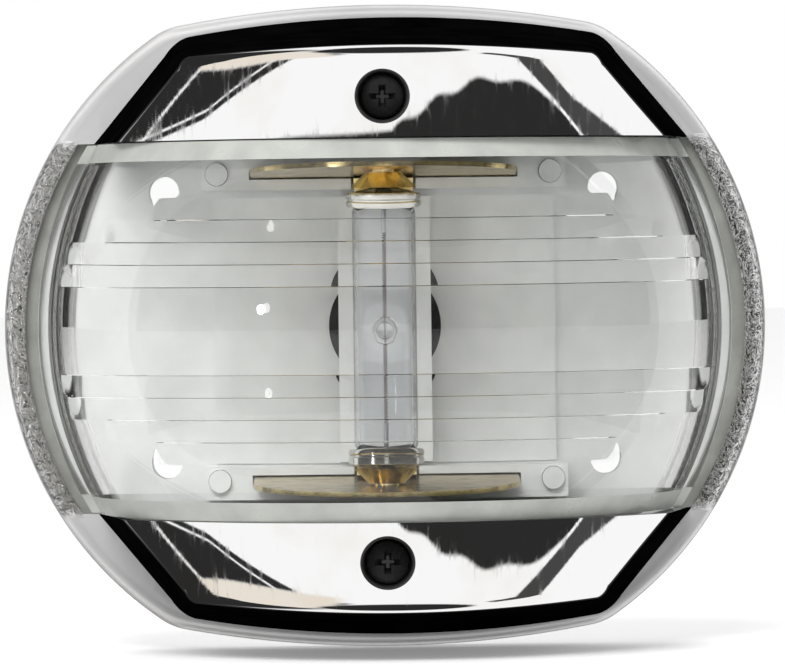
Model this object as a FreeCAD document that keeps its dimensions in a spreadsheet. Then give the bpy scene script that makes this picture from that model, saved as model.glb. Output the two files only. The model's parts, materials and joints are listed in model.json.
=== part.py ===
import FreeCAD, Part

import math
import os

import Sketcher

# A surface-mounted navigation light with a polished steel cover, a clear barrel lens and a
# double-ended (festoon) bulb held between two sprung brass contacts.
#
# Frame: X to the right, Z up, the light shines along -Y. The origin is the centre of the flat
# back face that is screwed to the boat, so every depth below is measured forwards, along -Y.

doc = FreeCAD.newDocument("navigation_light")

# Driving dimensions in millimetres and degrees: alias, value, meaning.
DIMENSIONS = [
    ("half_width", 41.5, "half the overall width, across the side rails"),
    ("half_height", 35.0, "half the overall height"),
    ("side_radius", 38.7, "radius of the outline at the left and right"),
    ("crown_radius", 120.0, "radius of the outline at the top and bottom"),
    ("outline_round", 7.0, "rounding where the outline's arcs meet"),
    ("flange_depth", 5.0, "depth of the cover's rim"),
    ("flange_round", 1.9, "rounding of the rim's outer edge"),
    ("skin", 1.4, "thickness of the cast steel"),
    ("rail_width", 2.3, "width of the bare rails beside the window"),
    ("window_half", 20.15, "half the height of the window"),
    ("hood_foot_x", 31.9, "hood foot: half width at the window"),
    ("hood_corner_x", 23.3, "hood foot: corner, sideways"),
    ("hood_corner_z", 30.6, "hood foot: corner, upwards"),
    ("hood_crown", 2.6, "hood foot: rise of its outer edge"),
    ("hood_draft", 8.0, "draft of the hood's side walls, degrees"),
    ("hood_shift", 0.9, "sideways offset of both hoods on the casting"),
    ("hood_corner_round", 3.0, "rounding of the hood's upright corners"),
    ("hood_round", 0.8, "rounding of the hood's front edges"),
    ("hood_taper", 0.6, "hood hollow: share of the skin taken off the corner, sideways"),
    ("hood_bend", 0.4, "hood hollow: share of the skin added to the bend's height"),
    ("hood_overlap", 6.0, "length by which the hood's foot is drawn past the window edge"),
    ("roof_radius", 31.6, "hood's sloping face: radius at the window edge"),
    ("roof_slope", 28.7, "slope of the hood's face, degrees"),
    ("roof_turn", 40.0, "angle to each side at which the round face runs out flat"),
    ("axis_depth", 5.3, "depth of the lens's upright axis"),
    ("past_all", 45.0, "depth in front of everything, where cutting shapes end"),
    ("cut_start", 20.0, "depth behind every hood face, where the screw tools begin"),
    ("screw_z", 24.45, "height of the cover screws"),
    ("screw_seat", 30.3, "depth of the cover screws' seats"),
    ("dimple_radius", 2.9, "round opening in the hood's face over a screw"),
    ("dimple_z", 24.6, "height of that opening"),
    ("dimple_length", 8.0, "length of the tool that cuts that opening"),
    ("dimple_lead", 1.2, "how far that tool stands out of the face"),
    ("bore_radius", 2.45, "bore for a screw head"),
    ("shank_clearance", 1.45, "hole for a screw shank"),
    ("post_radius", 3.5, "boss round a screw, inside the cover"),
    ("post_end", 26.6, "depth at which the cover's bosses end"),
    ("base_inset", 2.0, "base plate: inset from the outline"),
    ("cavity_inset", 1.75, "pocket in the cover's back: inset from the outline"),
    ("base_thickness", 3.0, "thickness of the base plate"),
    ("platform_x", 18.6, "raised platform: half width"),
    ("platform_z", 12.5, "raised platform: half height"),
    ("platform_rise", 1.2, "height of the platform"),
    ("pillar_radius", 3.1, "base pillars under the cover screws"),
    ("pillar_end", 26.0, "depth at which the pillars end"),
    ("mount_x", 24.1, "mounting holes: half spacing, sideways"),
    ("mount_z", 14.45, "mounting holes: half spacing, upwards"),
    ("mount_radius", 1.7, "radius of the mounting holes"),
    ("cable_radius", 3.2, "bore of the cable grommet"),
    ("grommet_neck", 5.0, "grommet: radius of its neck"),
    ("grommet_flange", 6.1, "grommet: radius of its flanges"),
    ("grommet_lip", 0.9, "grommet: thickness of a flange"),
    ("gasket_thickness", 0.8, "lens gasket: thickness"),
    ("gasket_outer", 2.05, "lens gasket: inset of its outer edge"),
    ("gasket_inner", 5.6, "lens gasket: inset of its inner edge"),
    ("lens_flange_inset", 3.7, "lens flange: inset from the outline"),
    ("lens_flange_half", 19.9, "lens flange: half height beside the window"),
    ("lens_flange_depth", 5.0, "depth of the lens flange's front face"),
    ("lens_tab_x", 21.0, "lens tabs under the hoods: half width"),
    ("lens_tab_z", 25.2, "lens tabs under the hoods: reach"),
    ("lens_tab_notch", 3.6, "notch in a lens tab round a pillar"),
    ("lens_radius", 36.7, "lens: outer radius at mid height"),
    ("lens_end_radius", 31.05, "lens: outer radius at its ends"),
    ("lens_end", 20.0, "lens: height of the ends"),
    ("lens_wall", 2.2, "lens: wall thickness"),
    ("tongue_radius", 27.8, "lens: radius of the tongue under a hood"),
    ("tongue_end", 20.6, "lens: height of the tongue"),
    ("lens_end_inside", 18.6, "lens: inner face of an end wall"),
    ("step_depth", 0.35, "depth of the light-bending steps"),
    ("gate_radius", 1.35, "moulding mark on the lens"),
    ("gate_depth", 0.2, "depth of the moulding mark"),
    ("carrier_outer", 19.6, "contact carrier: half length"),
    ("carrier_low", 14.5, "contact carrier: lower face"),
    ("carrier_high", 18.2, "contact carrier: upper face"),
    ("carrier_depth", 9.0, "depth of the contact carrier's front face"),
    ("stake_x", 18.0, "stakes through a carrier: sideways"),
    ("stake_z", 16.2, "stakes through a carrier: upwards"),
    ("stake_radius", 1.2, "radius of a stake"),
    ("stake_end", 9.5, "depth at which a stake ends"),
    ("slot_low", 15.6, "carrier slot: lower face"),
    ("slot_high", 16.6, "carrier slot: upper face"),
    ("contact_x", 14.2, "contact plate: half width and nose radius"),
    ("contact_z", 15.9, "contact plate: height of its rear edge"),
    ("contact_rear", 7.5, "depth of the contact plate's rear edge"),
    ("contact_nose", 17.0, "depth of the centre of the plate's round nose"),
    ("contact_tilt", 3.0, "outward tilt of the contact plate, degrees"),
    ("contact_sheet", 0.5, "thickness of the brass sheet"),
    ("bulb_depth", 20.5, "depth of the bulb's axis"),
    ("cup_mouth", 14.6, "contact cup: height of its mouth"),
    ("cup_base", 16.2, "contact cup: height of its base"),
    ("cup_mouth_radius", 3.5, "contact cup: outer radius at the mouth"),
    ("cup_base_radius", 1.9, "contact cup: outer radius at the base"),
    ("cup_wall", 0.45, "contact cup: wall thickness"),
    ("cup_shank", 1.3, "contact cup: radius of its riveted shank"),
    ("tab_half", 3.2, "terminal tab: half width"),
    ("tab_low", 8.0, "terminal tab: lower end"),
    ("tab_reach", 12.0, "terminal tab: depth of its foot's end"),
    ("terminal_z", 11.0, "height of the terminal screws"),
    ("washer_half", 2.7, "clamp washer: half side"),
    ("washer_thickness", 0.6, "clamp washer: thickness"),
    ("guard_x", 5.0, "wire guard: half width"),
    ("guard_z", 12.4, "wire guard: half height"),
    ("guard_depth", 9.6, "depth of the wire guard's front face"),
    ("guard_thickness", 1.0, "wire guard: thickness"),
    ("guard_foot", 1.2, "wire guard: width of a foot"),
    ("head_radius", 2.25, "M2.5 screw: radius of the head"),
    ("head_height", 2.0, "M2.5 screw: height of the head"),
    ("shank_radius", 1.25, "M2.5 screw: radius of the shank"),
    ("screw_length", 12.0, "cover screw: length under the head"),
    ("recess_radius", 1.35, "cross recess: reach of an arm"),
    ("recess_arm", 0.3, "cross recess: half width of an arm"),
    ("recess_depth", 1.1, "cross recess: depth"),
    ("seal_radius", 2.2, "screw seal: outer radius"),
    ("seal_thickness", 0.6, "screw seal: thickness"),
    ("insert_radius", 2.0, "threaded insert: outer radius"),
    ("insert_length", 8.0, "threaded insert: length"),
    ("glass_radius", 3.36, "bulb: radius of the glass"),
    ("glass_wall", 0.5, "bulb: thickness of the glass"),
    ("glass_end", 12.9, "bulb: height at which the glass ends"),
    ("cap_radius", 4.0, "bulb: radius of an end cap"),
    ("cap_low", 11.9, "bulb: height at which a cap begins"),
    ("cap_high", 14.1, "bulb: height at which a cap's cylinder ends"),
    ("cap_tip", 15.7, "bulb: height of a cap's tip"),
    ("cap_tip_radius", 1.3, "bulb: radius of a cap's tip"),
    ("filament_end", 8.6, "bulb: half length of the filament"),
    ("filament_radius", 0.22, "bulb: radius of the filament's coil"),
    ("lead_radius", 0.25, "bulb: radius of a lead wire"),
]

# Light-bending steps inside the lens: height of the step, height at which its slope runs out,
# and the half width over which the moulding carries it.
LENS_STEPS = [(4.5, 6.8, 33.2), (6.8, 9.1, 32.4), (9.1, 11.4, 28.6), (11.4, 13.7, 23.4)]

sheet = doc.addObject("Spreadsheet::Sheet", "sizes")
for row, (alias, number, meaning) in enumerate(DIMENSIONS, 1):
    sheet.set(f"A{row}", meaning)
    sheet.set(f"B{row}", str(number))
    sheet.setAlias(f"B{row}", alias)
doc.recompute()

FREE = FreeCAD.Placement()
# The lower half of the light repeats the upper half, turned half a turn about the light's axis.
TURNED = FreeCAD.Placement(FreeCAD.Vector(), FreeCAD.Rotation(FreeCAD.Vector(0, 1, 0), 180))
SIDES = [("upper", FREE), ("lower", TURNED)]
subparts = []


def value(expression):
    """The number that an expression of the sheet's names gives."""
    return float(sheet.evalExpression(str(expression)))


def bound(expression):
    """The same expression, as an object outside the sheet writes it."""
    text = str(expression)
    for name in sorted((row[0] for row in DIMENSIONS), key=len, reverse=True):
        text = text.replace(name, f"<<{name[::-1]}>>")
    for name in (row[0] for row in DIMENSIONS):
        text = text.replace(f"<<{name[::-1]}>>", f"sizes.{name}")
    return text


def sub_part(thing, label, placement=FREE):
    """Names a finished sub-part and puts it in place."""
    thing.Label = label
    thing.Placement = placement.multiply(thing.Placement)
    subparts.append(thing)
    return thing


def new_body(name):
    return doc.addObject("PartDesign::Body", name)


def new_sketch(body, name, role="XZ_Plane", lift="0"):
    """A sketch on one of the body's own origin planes, lifted along that plane's normal."""
    sketch = body.newObject("Sketcher::SketchObject", name)
    plane = next(each for each in body.Origin.OriginFeatures if each.Role == role)
    sketch.AttachmentSupport = [(plane, "")]
    sketch.MapMode = "FlatFace"
    sketch.setExpression("AttachmentOffset.Base.z", bound(lift))
    return sketch


def bind(sketch, constraint, name, expression):
    index = sketch.addConstraint(constraint)
    sketch.renameConstraint(index, name)
    sketch.setExpression(f"Constraints.{name}", bound(expression))


def pin(sketch, geometry, end, name, across, up):
    """Holds a point of a sketch at the place that two expressions give."""
    for axis, expression, line, kind in (("x", across, -2, "DistanceX"), ("y", up, -1, "DistanceY")):
        distance = value(expression)
        if abs(distance) < 1e-9:
            sketch.addConstraint(Sketcher.Constraint("PointOnObject", geometry, end, line))
        else:
            constraint = Sketcher.Constraint(kind, -1, 1, geometry, end, distance)
            bind(sketch, constraint, f"{name}_{axis}", expression)


def draw_closed(sketch, corners, name="corner"):
    """A closed outline. A corner is (across, up), or (across, up, rise) where the edge that leaves
    it is an arc that rises by that much to the right of the way it runs."""
    points = [FreeCAD.Vector(value(corner[0]), value(corner[1]), 0) for corner in corners]
    edges = []
    for index, corner in enumerate(corners):
        start = points[index]
        end = points[(index + 1) % len(points)]
        if len(corner) == 2:
            edges.append(sketch.addGeometry(Part.LineSegment(start, end), False))
            continue
        chord = end - start
        outward = FreeCAD.Vector(chord.y, -chord.x, 0).normalize()
        middle = (start + end) * 0.5 + outward * value(corner[2])
        edges.append(sketch.addGeometry(Part.Arc(start, middle, end), False))
    for index, corner in enumerate(corners):
        following = (index + 1) % len(corners)
        first = 1 if sketch.getPoint(edges[index], 1).isEqual(points[index], 1e-6) else 2
        last = 3 - first
        start_matches = sketch.getPoint(edges[following], 1).isEqual(points[following], 1e-6)
        sketch.addConstraint(
            Sketcher.Constraint("Coincident", edges[index], last, edges[following], 1 if start_matches else 2)
        )
        pin(sketch, edges[index], first, f"{name}_{index}", corner[0], corner[1])
        if len(corner) == 3:
            across = f"(({corners[following][0]}) - ({corner[0]}))"
            up = f"(({corners[following][1]}) - ({corner[1]}))"
            rise = f"abs({corner[2]})"
            radius = f"({across}^2 + {up}^2) / (8 * {rise}) + {rise} / 2"
            constraint = Sketcher.Constraint("Radius", edges[index], value(radius))
            bind(sketch, constraint, f"{name}_{index}_radius", radius)


def draw_box(sketch, left, low, right, high, name="corner"):
    draw_closed(sketch, [(left, low), (right, low), (right, high), (left, high)], name)


def draw_circle(sketch, across, up, radius, name="circle"):
    centre = FreeCAD.Vector(value(across), value(up), 0)
    circle = Part.Circle(centre, FreeCAD.Vector(0, 0, 1), value(radius))
    index = sketch.addGeometry(circle, False)
    pin(sketch, index, 3, name, across, up)
    bind(sketch, Sketcher.Constraint("Radius", index, value(radius)), f"{name}_radius", radius)


def draw_outline(sketch, inset="0", name="outline"):
    """The light's outline, moved inwards by an inset: four arcs that meet at four corners."""
    side = value(f"side_radius - ({inset})")
    crown = value(f"crown_radius - ({inset})")
    shift = value("half_width - side_radius")
    drop = value("crown_radius - half_height")
    corner_x, corner_z = outline_corner(side, crown, shift, drop)
    corners = [(corner_x, -corner_z), (corner_x, corner_z), (-corner_x, corner_z), (-corner_x, -corner_z)]
    middles = [(shift + side, 0), (0, crown - drop), (-shift - side, 0), (0, drop - crown)]
    centres = [("half_width - side_radius", "0"), ("0", "half_height - crown_radius")]
    centres += [("side_radius - half_width", "0"), ("0", "crown_radius - half_height")]
    radii = ["side_radius", "crown_radius", "side_radius", "crown_radius"]
    arcs = []
    for index in range(4):
        spots = (corners[index], middles[index], corners[(index + 1) % 4])
        arcs.append(sketch.addGeometry(Part.Arc(*[FreeCAD.Vector(x, z, 0) for x, z in spots]), False))
    for index, arc in enumerate(arcs):
        sketch.addConstraint(Sketcher.Constraint("Coincident", arc, 2, arcs[(index + 1) % 4], 1))
        pin(sketch, arc, 3, f"{name}_{index}", *centres[index])
        radius = f"{radii[index]} - ({inset})"
        bind(sketch, Sketcher.Constraint("Radius", arc, value(radius)), f"{name}_{index}_radius", radius)


def outline_corner(side, crown, shift, drop):
    """Where the circle of radius side about (shift, 0) meets that of radius crown about (0, -drop)."""
    low, high = 0.0, side
    for _ in range(60):
        z = (low + high) / 2
        x = shift + math.sqrt(side**2 - z**2)
        if math.hypot(x, z + drop) < crown:
            low = z
        else:
            high = z
    return x, z


def draw_window(sketch, inset, half_height):
    """The outline's two sides, moved inwards and cut off level above and below."""
    radius = f"(side_radius - ({inset}))"
    edge = f"(half_width - side_radius + sqrt({radius}^2 - ({half_height})^2))"
    rise = f"({radius} - sqrt({radius}^2 - ({half_height})^2))"
    corners = [(edge, f"-({half_height})", rise), (edge, half_height)]
    corners += [(f"-{edge}", half_height, rise), (f"-{edge}", f"-({half_height})")]
    draw_closed(sketch, corners, "window")


def feature(body, kind, name, sketch):
    made = body.newObject(f"PartDesign::{kind}", name)
    made.Profile = sketch
    return made


def pad(body, name, sketch, length, taper="0"):
    """Builds a sketch out along its normal: forwards, for a sketch on the XZ plane."""
    made = feature(body, "Pad", name, sketch)
    made.setExpression("Length", bound(length))
    made.setExpression("TaperAngle", bound(taper))
    return made


def pocket(body, name, sketch, depth, forwards=False):
    """Cuts a sketch into the body against its normal, or along it where forwards is true."""
    made = feature(body, "Pocket", name, sketch)
    made.Reversed = forwards
    made.setExpression("Length", bound(depth))
    return made


def turn(body, name, sketch, kind="Revolution", angle="360"):
    """Turns a sketch about its own upright axis, evenly to both sides."""
    made = feature(body, kind, name, sketch)
    made.ReferenceAxis = (sketch, ["V_Axis"])
    made.Midplane = True
    made.setExpression("Angle", bound(angle))
    return made


def round_edges(body, name, radius, wanted):
    """Rounds the edges of the body's tip for which wanted(edge) holds."""
    doc.recompute()
    base = body.Tip
    edges = [f"Edge{i}" for i, edge in enumerate(base.Shape.Edges, 1) if wanted(edge)]
    made = body.newObject("PartDesign::Fillet", name)
    made.Base = (base, edges)
    made.setExpression("Radius", bound(radius))
    return made


def runs_along(edge, axis):
    """True where an edge's two ends differ only along one axis."""
    ends = [vertex.Point for vertex in edge.Vertexes]
    if len(ends) < 2:
        return False
    step = ends[1] - ends[0]
    others = [abs(step[i]) for i in range(3) if i != axis]
    return max(others) < 0.01 * abs(step[axis])


def combine(kind, name, base, tools):
    """A Part boolean of one object with one or several others."""
    made = doc.addObject(f"Part::{kind}", name)
    if len(tools) == 1:
        made.Base = base
        made.Tool = tools[0]
        return made
    joined = doc.addObject("Part::MultiFuse", f"{name}_tools")
    joined.Shapes = tools
    made.Base = base
    made.Tool = joined
    return made


def rod(name, radius, across, up, near, far):
    """A round rod along the light's axis, from depth near to depth far."""
    made = doc.addObject("Part::Cylinder", name)
    made.setExpression("Radius", bound(radius))
    made.setExpression("Height", bound(f"({far}) - ({near})"))
    made.Placement = FreeCAD.Placement(FreeCAD.Vector(), FreeCAD.Rotation(FreeCAD.Vector(1, 0, 0), 90))
    made.setExpression("Placement.Base.x", bound(across))
    made.setExpression("Placement.Base.y", bound(f"-({near})"))
    made.setExpression("Placement.Base.z", bound(up))
    return made


def block(name, left, right, near, far, low, high):
    """A plain box between two widths, two depths and two heights."""
    made = doc.addObject("Part::Box", name)
    made.setExpression("Length", bound(f"({right}) - ({left})"))
    made.setExpression("Width", bound(f"({far}) - ({near})"))
    made.setExpression("Height", bound(f"({high}) - ({low})"))
    made.setExpression("Placement.Base.x", bound(left))
    made.setExpression("Placement.Base.y", bound(f"-({far})"))
    made.setExpression("Placement.Base.z", bound(low))
    return made


# --- Steel cover -----------------------------------------------------------------------------


def hood_foot(inset):
    """The upper hood's foot, drawn on past the window edge, which cuts it off."""
    side = f"(hood_foot_x - {inset})"
    corner = f"(hood_corner_x - {inset} * hood_taper)"
    top = f"(hood_corner_z - {inset})"
    below = "(window_half - hood_overlap)"
    bend = f"(window_half + {inset} * hood_bend)"
    corners = [(f"-{side}", below), (side, below), (side, bend), (corner, top, "hood_crown")]
    return corners + [(f"-{corner}", top), (f"-{side}", bend)]


def hood_plan(inset):
    """The hood's face seen from above, just under the window edge: round in the middle, about
    the lens's axis, and straight on from there to both sides and round the back."""
    radius = f"(roof_radius + tan(roof_slope) - {inset} / cos(roof_slope))"
    across = f"({radius} * sin(roof_turn))"
    front = f"(-axis_depth - {radius} * cos(roof_turn))"
    far, back = f"({across} + half_height * cos(roof_turn))", f"({front} + half_height * sin(roof_turn))"
    bow = f"{radius} * (1 - cos(roof_turn))"
    corners = [(f"-{far}", "half_height"), (f"-{far}", back), (f"-{across}", front, bow)]
    return corners + [(across, front), (far, back), (far, "half_height")]


def hood_solid(name, inset, start):
    """One hood: the part of a drafted block that lies behind a sloping face. Inset makes the
    same shape smaller all over, for the hollow inside."""
    block_body = new_body(f"{name}_block")
    foot = new_sketch(block_body, f"{name}_foot", lift=start)
    draw_closed(foot, hood_foot(inset))
    pad(block_body, f"{name}_block_pad", foot, "past_all", "-hood_draft")
    bend = value("window_half + hood_corner_round")
    round_edges(block_body, f"{name}_corners", f"hood_corner_round - {inset}",
                lambda edge: edge.BoundBox.YLength > value("roof_radius") and edge.BoundBox.ZMin > bend)
    face_body = new_body(f"{name}_face")
    plan = new_sketch(face_body, f"{name}_plan", "XY_Plane", "window_half - 1")
    draw_closed(plan, hood_plan(inset))
    pad(face_body, f"{name}_face_pad", plan, "half_height - window_half + 2", "-roof_slope")
    solid = doc.addObject("Part::Common", f"{name}_solid")
    solid.Base = block_body
    solid.Tool = face_body
    return solid


def leans_back(face):
    """True for the faces of a hood's sloping front, which lean back more than its walls do."""
    lean = face.normalAt(*face.Surface.parameter(face.CenterOfMass)).z
    return 0.9 * math.sin(math.radians(value("roof_slope"))) < abs(lean) < 0.6


def soften(solid, name):
    """Rounds the front edges of a hood, where its face meets its walls."""
    doc.recompute()
    edges = []
    for index, edge in enumerate(solid.Shape.Edges, 1):
        sides = [leans_back(face) for face in solid.Shape.ancestorsOfType(edge, Part.Face)]
        if sides.count(True) == 1 and edge.BoundBox.ZMax > value("window_half"):
            edges.append((index, value("hood_round"), value("hood_round")))
    made = doc.addObject("Part::Fillet", name)
    made.Base = solid
    made.Edges = edges
    return made


def screw_tools(name):
    """What a cover screw takes out of the cover: opening, head bore and shank hole."""
    opening = doc.addObject("Part::Cylinder", f"{name}_opening")
    opening.setExpression("Radius", bound("dimple_radius"))
    opening.setExpression("Height", bound("dimple_length"))
    tilt = 90 - value("roof_slope")
    face = value("axis_depth + roof_radius - (dimple_z - window_half) * tan(roof_slope)")
    into = FreeCAD.Rotation(FreeCAD.Vector(1, 0, 0), tilt)
    centre = FreeCAD.Vector(0, -face, value("dimple_z"))
    opening.Placement = FreeCAD.Placement(centre - into.multVec(FreeCAD.Vector(0, 0, value("dimple_lead"))), into)
    head = rod(f"{name}_head_bore", "bore_radius", "0", "screw_z", "screw_seat", "past_all")
    shank = rod(f"{name}_shank_hole", "shank_clearance", "0", "screw_z", "cut_start", "past_all")
    tools = doc.addObject("Part::MultiFuse", f"{name}_screw_space")
    tools.Shapes = [opening, head, shank]
    return tools


def steel_cover():
    """The cast cover: a rim with a window across it and a hollow hood above and below."""
    rim = new_body("cover_rim")
    outline = new_sketch(rim, "cover_rim_outline")
    draw_outline(outline)
    pad(rim, "cover_rim_pad", outline, "flange_depth")
    round_edges(rim, "cover_rim_corners", "outline_round", lambda edge: runs_along(edge, 1))
    front = value("-flange_depth") + 0.01
    round_edges(rim, "cover_rim_edge", "flange_round", lambda edge: edge.BoundBox.YMax < front)

    shells, hollows = [rim], []
    for side, placement in SIDES:
        shifted = FreeCAD.Placement(FreeCAD.Vector(value("hood_shift"), 0, 0), placement.Rotation)
        hood = soften(hood_solid(f"{side}_hood", "0", "flange_depth - 0.5"), f"{side}_hood")
        hood.Placement = shifted
        shells.append(hood)
        hollow = hood_solid(f"{side}_hollow", "skin", "0")
        hollow.Placement = shifted
        post = rod(f"{side}_post_rod", "post_radius", "0", "screw_z", "post_end", "past_all")
        posts = doc.addObject("Part::Compound", f"{side}_post")
        posts.Links = [post]
        posts.Placement = placement
        space = combine("Cut", f"{side}_space", hollow, [posts])
        hollows.append(space)
        screw_space = screw_tools(side)
        screw_space.Placement = placement
        hollows.append(screw_space)
    window = new_body("cover_window")
    opening = new_sketch(window, "cover_window_outline", lift="-1")
    draw_window(opening, "rail_width", "window_half")
    pad(window, "cover_window_pad", opening, "past_all")
    cavity = new_body("cover_cavity")
    pocket_outline = new_sketch(cavity, "cover_cavity_outline", lift="-1")
    draw_outline(pocket_outline, "cavity_inset")
    pad(cavity, "cover_cavity_pad", pocket_outline, "1 + base_thickness + gasket_thickness")

    whole = doc.addObject("Part::MultiFuse", "cover_whole")
    whole.Shapes = shells
    whole.Refine = True
    cover = combine("Cut", "steel_cover_cut", whole, hollows + [window, cavity])
    return sub_part(cover, "steel_cover")


# --- Lens and gasket -------------------------------------------------------------------------


def lens():
    """A clear barrel, open at the back, with closed ends, a flange, and steps inside."""
    body = new_body("lens_body")
    profile = new_sketch(body, "lens_profile", "YZ_Plane")
    profile.setExpression("AttachmentOffset.Base.x", bound("-axis_depth"))
    inside = "(lens_end_radius - lens_wall)"
    swell = "(lens_radius - lens_end_radius)"
    corners = [("0", "lens_end_inside"), ("0", "tongue_end"), ("-tongue_radius", "tongue_end")]
    corners += [("-tongue_radius", "lens_end"), ("-lens_end_radius", "lens_end", swell)]
    corners += [("-lens_end_radius", "-lens_end"), ("-tongue_radius", "-lens_end")]
    corners += [("-tongue_radius", "-tongue_end"), ("0", "-tongue_end"), ("0", "-lens_end_inside")]
    corners += [(f"-{inside}", "-lens_end_inside", f"-{swell}"), (f"-{inside}", "lens_end_inside")]
    draw_closed(profile, corners)
    turn(body, "lens_barrel", profile, angle="180")

    # The flange meets the barrel's open back and carries on between it and the gasket.
    sides = new_sketch(body, "lens_side_flange", lift="base_thickness + gasket_thickness")
    draw_window(sides, "lens_flange_inset", "lens_flange_half")
    pad(body, "lens_side_flange_pad", sides, "axis_depth - base_thickness - gasket_thickness")
    tabs = new_sketch(body, "lens_tab_outline", lift="base_thickness + gasket_thickness")
    draw_box(tabs, "-lens_tab_x", "-lens_tab_z", "lens_tab_x", "lens_tab_z")
    pad(body, "lens_tab_pad", tabs, "lens_flange_depth - base_thickness - gasket_thickness")

    # The hollow goes right through the flange, and a pillar passes each tab.
    mouth = new_sketch(body, "lens_mouth")
    draw_box(mouth, f"-{inside}", "-lens_end_inside", inside, "lens_end_inside")
    pocket(body, "lens_mouth_pocket", mouth, "axis_depth", forwards=True)
    notches = new_sketch(body, "lens_tab_notches")
    draw_circle(notches, "0", "screw_z", "lens_tab_notch", "upper_notch")
    draw_circle(notches, "0", "-screw_z", "lens_tab_notch", "lower_notch")
    pocket(body, "lens_tab_notch_pocket", notches, "lens_flange_depth", forwards=True)

    for index, (edge, fade, half_width) in enumerate(LENS_STEPS):
        lens_step(body, f"lens_step_{index}", edge, fade, half_width)
    mark = new_sketch(body, "lens_gate_mark", lift="axis_depth + lens_radius + 2")
    draw_circle(mark, "0", "0", "gate_radius")
    pocket(body, "lens_gate_pocket", mark, "2 + gate_depth")
    return sub_part(body, "lens")


def inner_radius(height):
    """The radius of the lens's inner face at a height."""
    swell = "(lens_radius - lens_end_radius)"
    bend = f"((2 * lens_end_inside)^2 / (8 * {swell}) + {swell} / 2)"
    deepest = f"(lens_end_radius - lens_wall + {swell})"
    return f"({deepest} - {bend} + sqrt({bend}^2 - ({height})^2))"


def lens_step(body, name, edge, fade, half_width):
    """A pair of sawtooth steps cut into the lens's inner face, above and below its middle."""
    for side in (1, -1):
        sketch = new_sketch(body, f"{name}_{'high' if side > 0 else 'low'}", "YZ_Plane")
        sketch.setExpression("AttachmentOffset.Base.x", bound("-axis_depth"))
        at_edge = inner_radius(edge)
        corners = [(f"-({at_edge}) - step_depth", edge * side), (f"-({at_edge}) + 1", edge * side)]
        corners += [(f"-({inner_radius(fade)}) + 1", fade * side), (f"-({inner_radius(fade)})", fade * side)]
        draw_closed(sketch, corners if side > 0 else corners[::-1])
        reach = f"2 * asin({half_width} / ({at_edge} + step_depth))"
        turn(body, f"{sketch.Name}_groove", sketch, "Groove", reach)


def lens_gasket():
    """A flat rubber ring that seals the base, the cover and the lens's flange."""
    body = new_body("gasket_body")
    outer = new_sketch(body, "gasket_outer", lift="base_thickness")
    draw_outline(outer, "gasket_outer")
    pad(body, "gasket_pad", outer, "gasket_thickness")
    inner = new_sketch(body, "gasket_inner")
    draw_outline(inner, "gasket_inner")
    pocket(body, "gasket_pocket", inner, "base_thickness + gasket_thickness", forwards=True)
    return sub_part(body, "lens_gasket")


# --- Base ------------------------------------------------------------------------------------


def base_plate():
    """The white moulding that is screwed to the boat and carries everything else."""
    body = new_body("base_body")
    outline = new_sketch(body, "base_outline")
    draw_outline(outline, "base_inset")
    pad(body, "base_pad", outline, "base_thickness")
    platform = new_sketch(body, "base_platform", lift="base_thickness")
    draw_box(platform, "-platform_x", "-platform_z", "platform_x", "platform_z")
    pad(body, "base_platform_pad", platform, "platform_rise")
    pillars = new_sketch(body, "base_pillars", lift="base_thickness")
    stakes = new_sketch(body, "base_stakes", lift="base_thickness")
    for side, sign in (("high", ""), ("low", "-")):
        draw_circle(pillars, "0", f"{sign}screw_z", "pillar_radius", f"pillar_{side}")
        for end, turned in (("right", ""), ("left", "-")):
            draw_circle(stakes, f"{turned}stake_x", f"{sign}stake_z", "stake_radius", f"stake_{side}_{end}")
    pad(body, "base_pillar_pad", pillars, "pillar_end - base_thickness")
    pad(body, "base_stake_pad", stakes, "stake_end - base_thickness")

    sockets = new_sketch(body, "base_insert_sockets", lift="pillar_end + 1")
    screws = new_sketch(body, "base_terminal_holes", lift="base_thickness + platform_rise + 1")
    mounts = new_sketch(body, "base_mounting_holes")
    for side, sign in (("high", ""), ("low", "-")):
        draw_circle(sockets, "0", f"{sign}screw_z", "insert_radius", f"socket_{side}")
        draw_circle(screws, "0", f"{sign}terminal_z", "shank_radius + 0.05", f"terminal_{side}")
        for end, turned in (("right", ""), ("left", "-")):
            draw_circle(mounts, f"{turned}mount_x", f"{sign}mount_z", "mount_radius", f"mount_{side}_{end}")
    pocket(body, "base_socket_pocket", sockets, "1 + insert_length")
    pocket(body, "base_terminal_pocket", screws, "1 + platform_rise + base_thickness - 0.6")
    pocket(body, "base_mount_pocket", mounts, "base_thickness", forwards=True)
    cable = new_sketch(body, "base_cable_hole")
    draw_circle(cable, "0", "0", "grommet_neck")
    pocket(body, "base_cable_pocket", cable, "base_thickness + platform_rise", forwards=True)
    recess = new_sketch(body, "base_cable_recess")
    draw_circle(recess, "0", "0", "grommet_flange")
    pocket(body, "base_recess_pocket", recess, "grommet_lip", forwards=True)
    return sub_part(body, "base_plate")


def cable_grommet():
    """A rubber grommet with a flange on each side of the base plate."""
    body = new_body("grommet_body")
    profile = new_sketch(body, "grommet_profile", "XY_Plane")
    front = "(base_thickness + platform_rise)"
    corners = [("cable_radius", "0"), ("cable_radius", f"-{front} - grommet_lip")]
    corners += [("grommet_flange", f"-{front} - grommet_lip"), ("grommet_flange", f"-{front}")]
    corners += [("grommet_neck", f"-{front}"), ("grommet_neck", "-grommet_lip")]
    corners += [("grommet_flange", "-grommet_lip"), ("grommet_flange", "0")]
    draw_closed(profile, corners)
    turn(body, "grommet_ring", profile)
    return sub_part(body, "cable_grommet")


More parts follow.
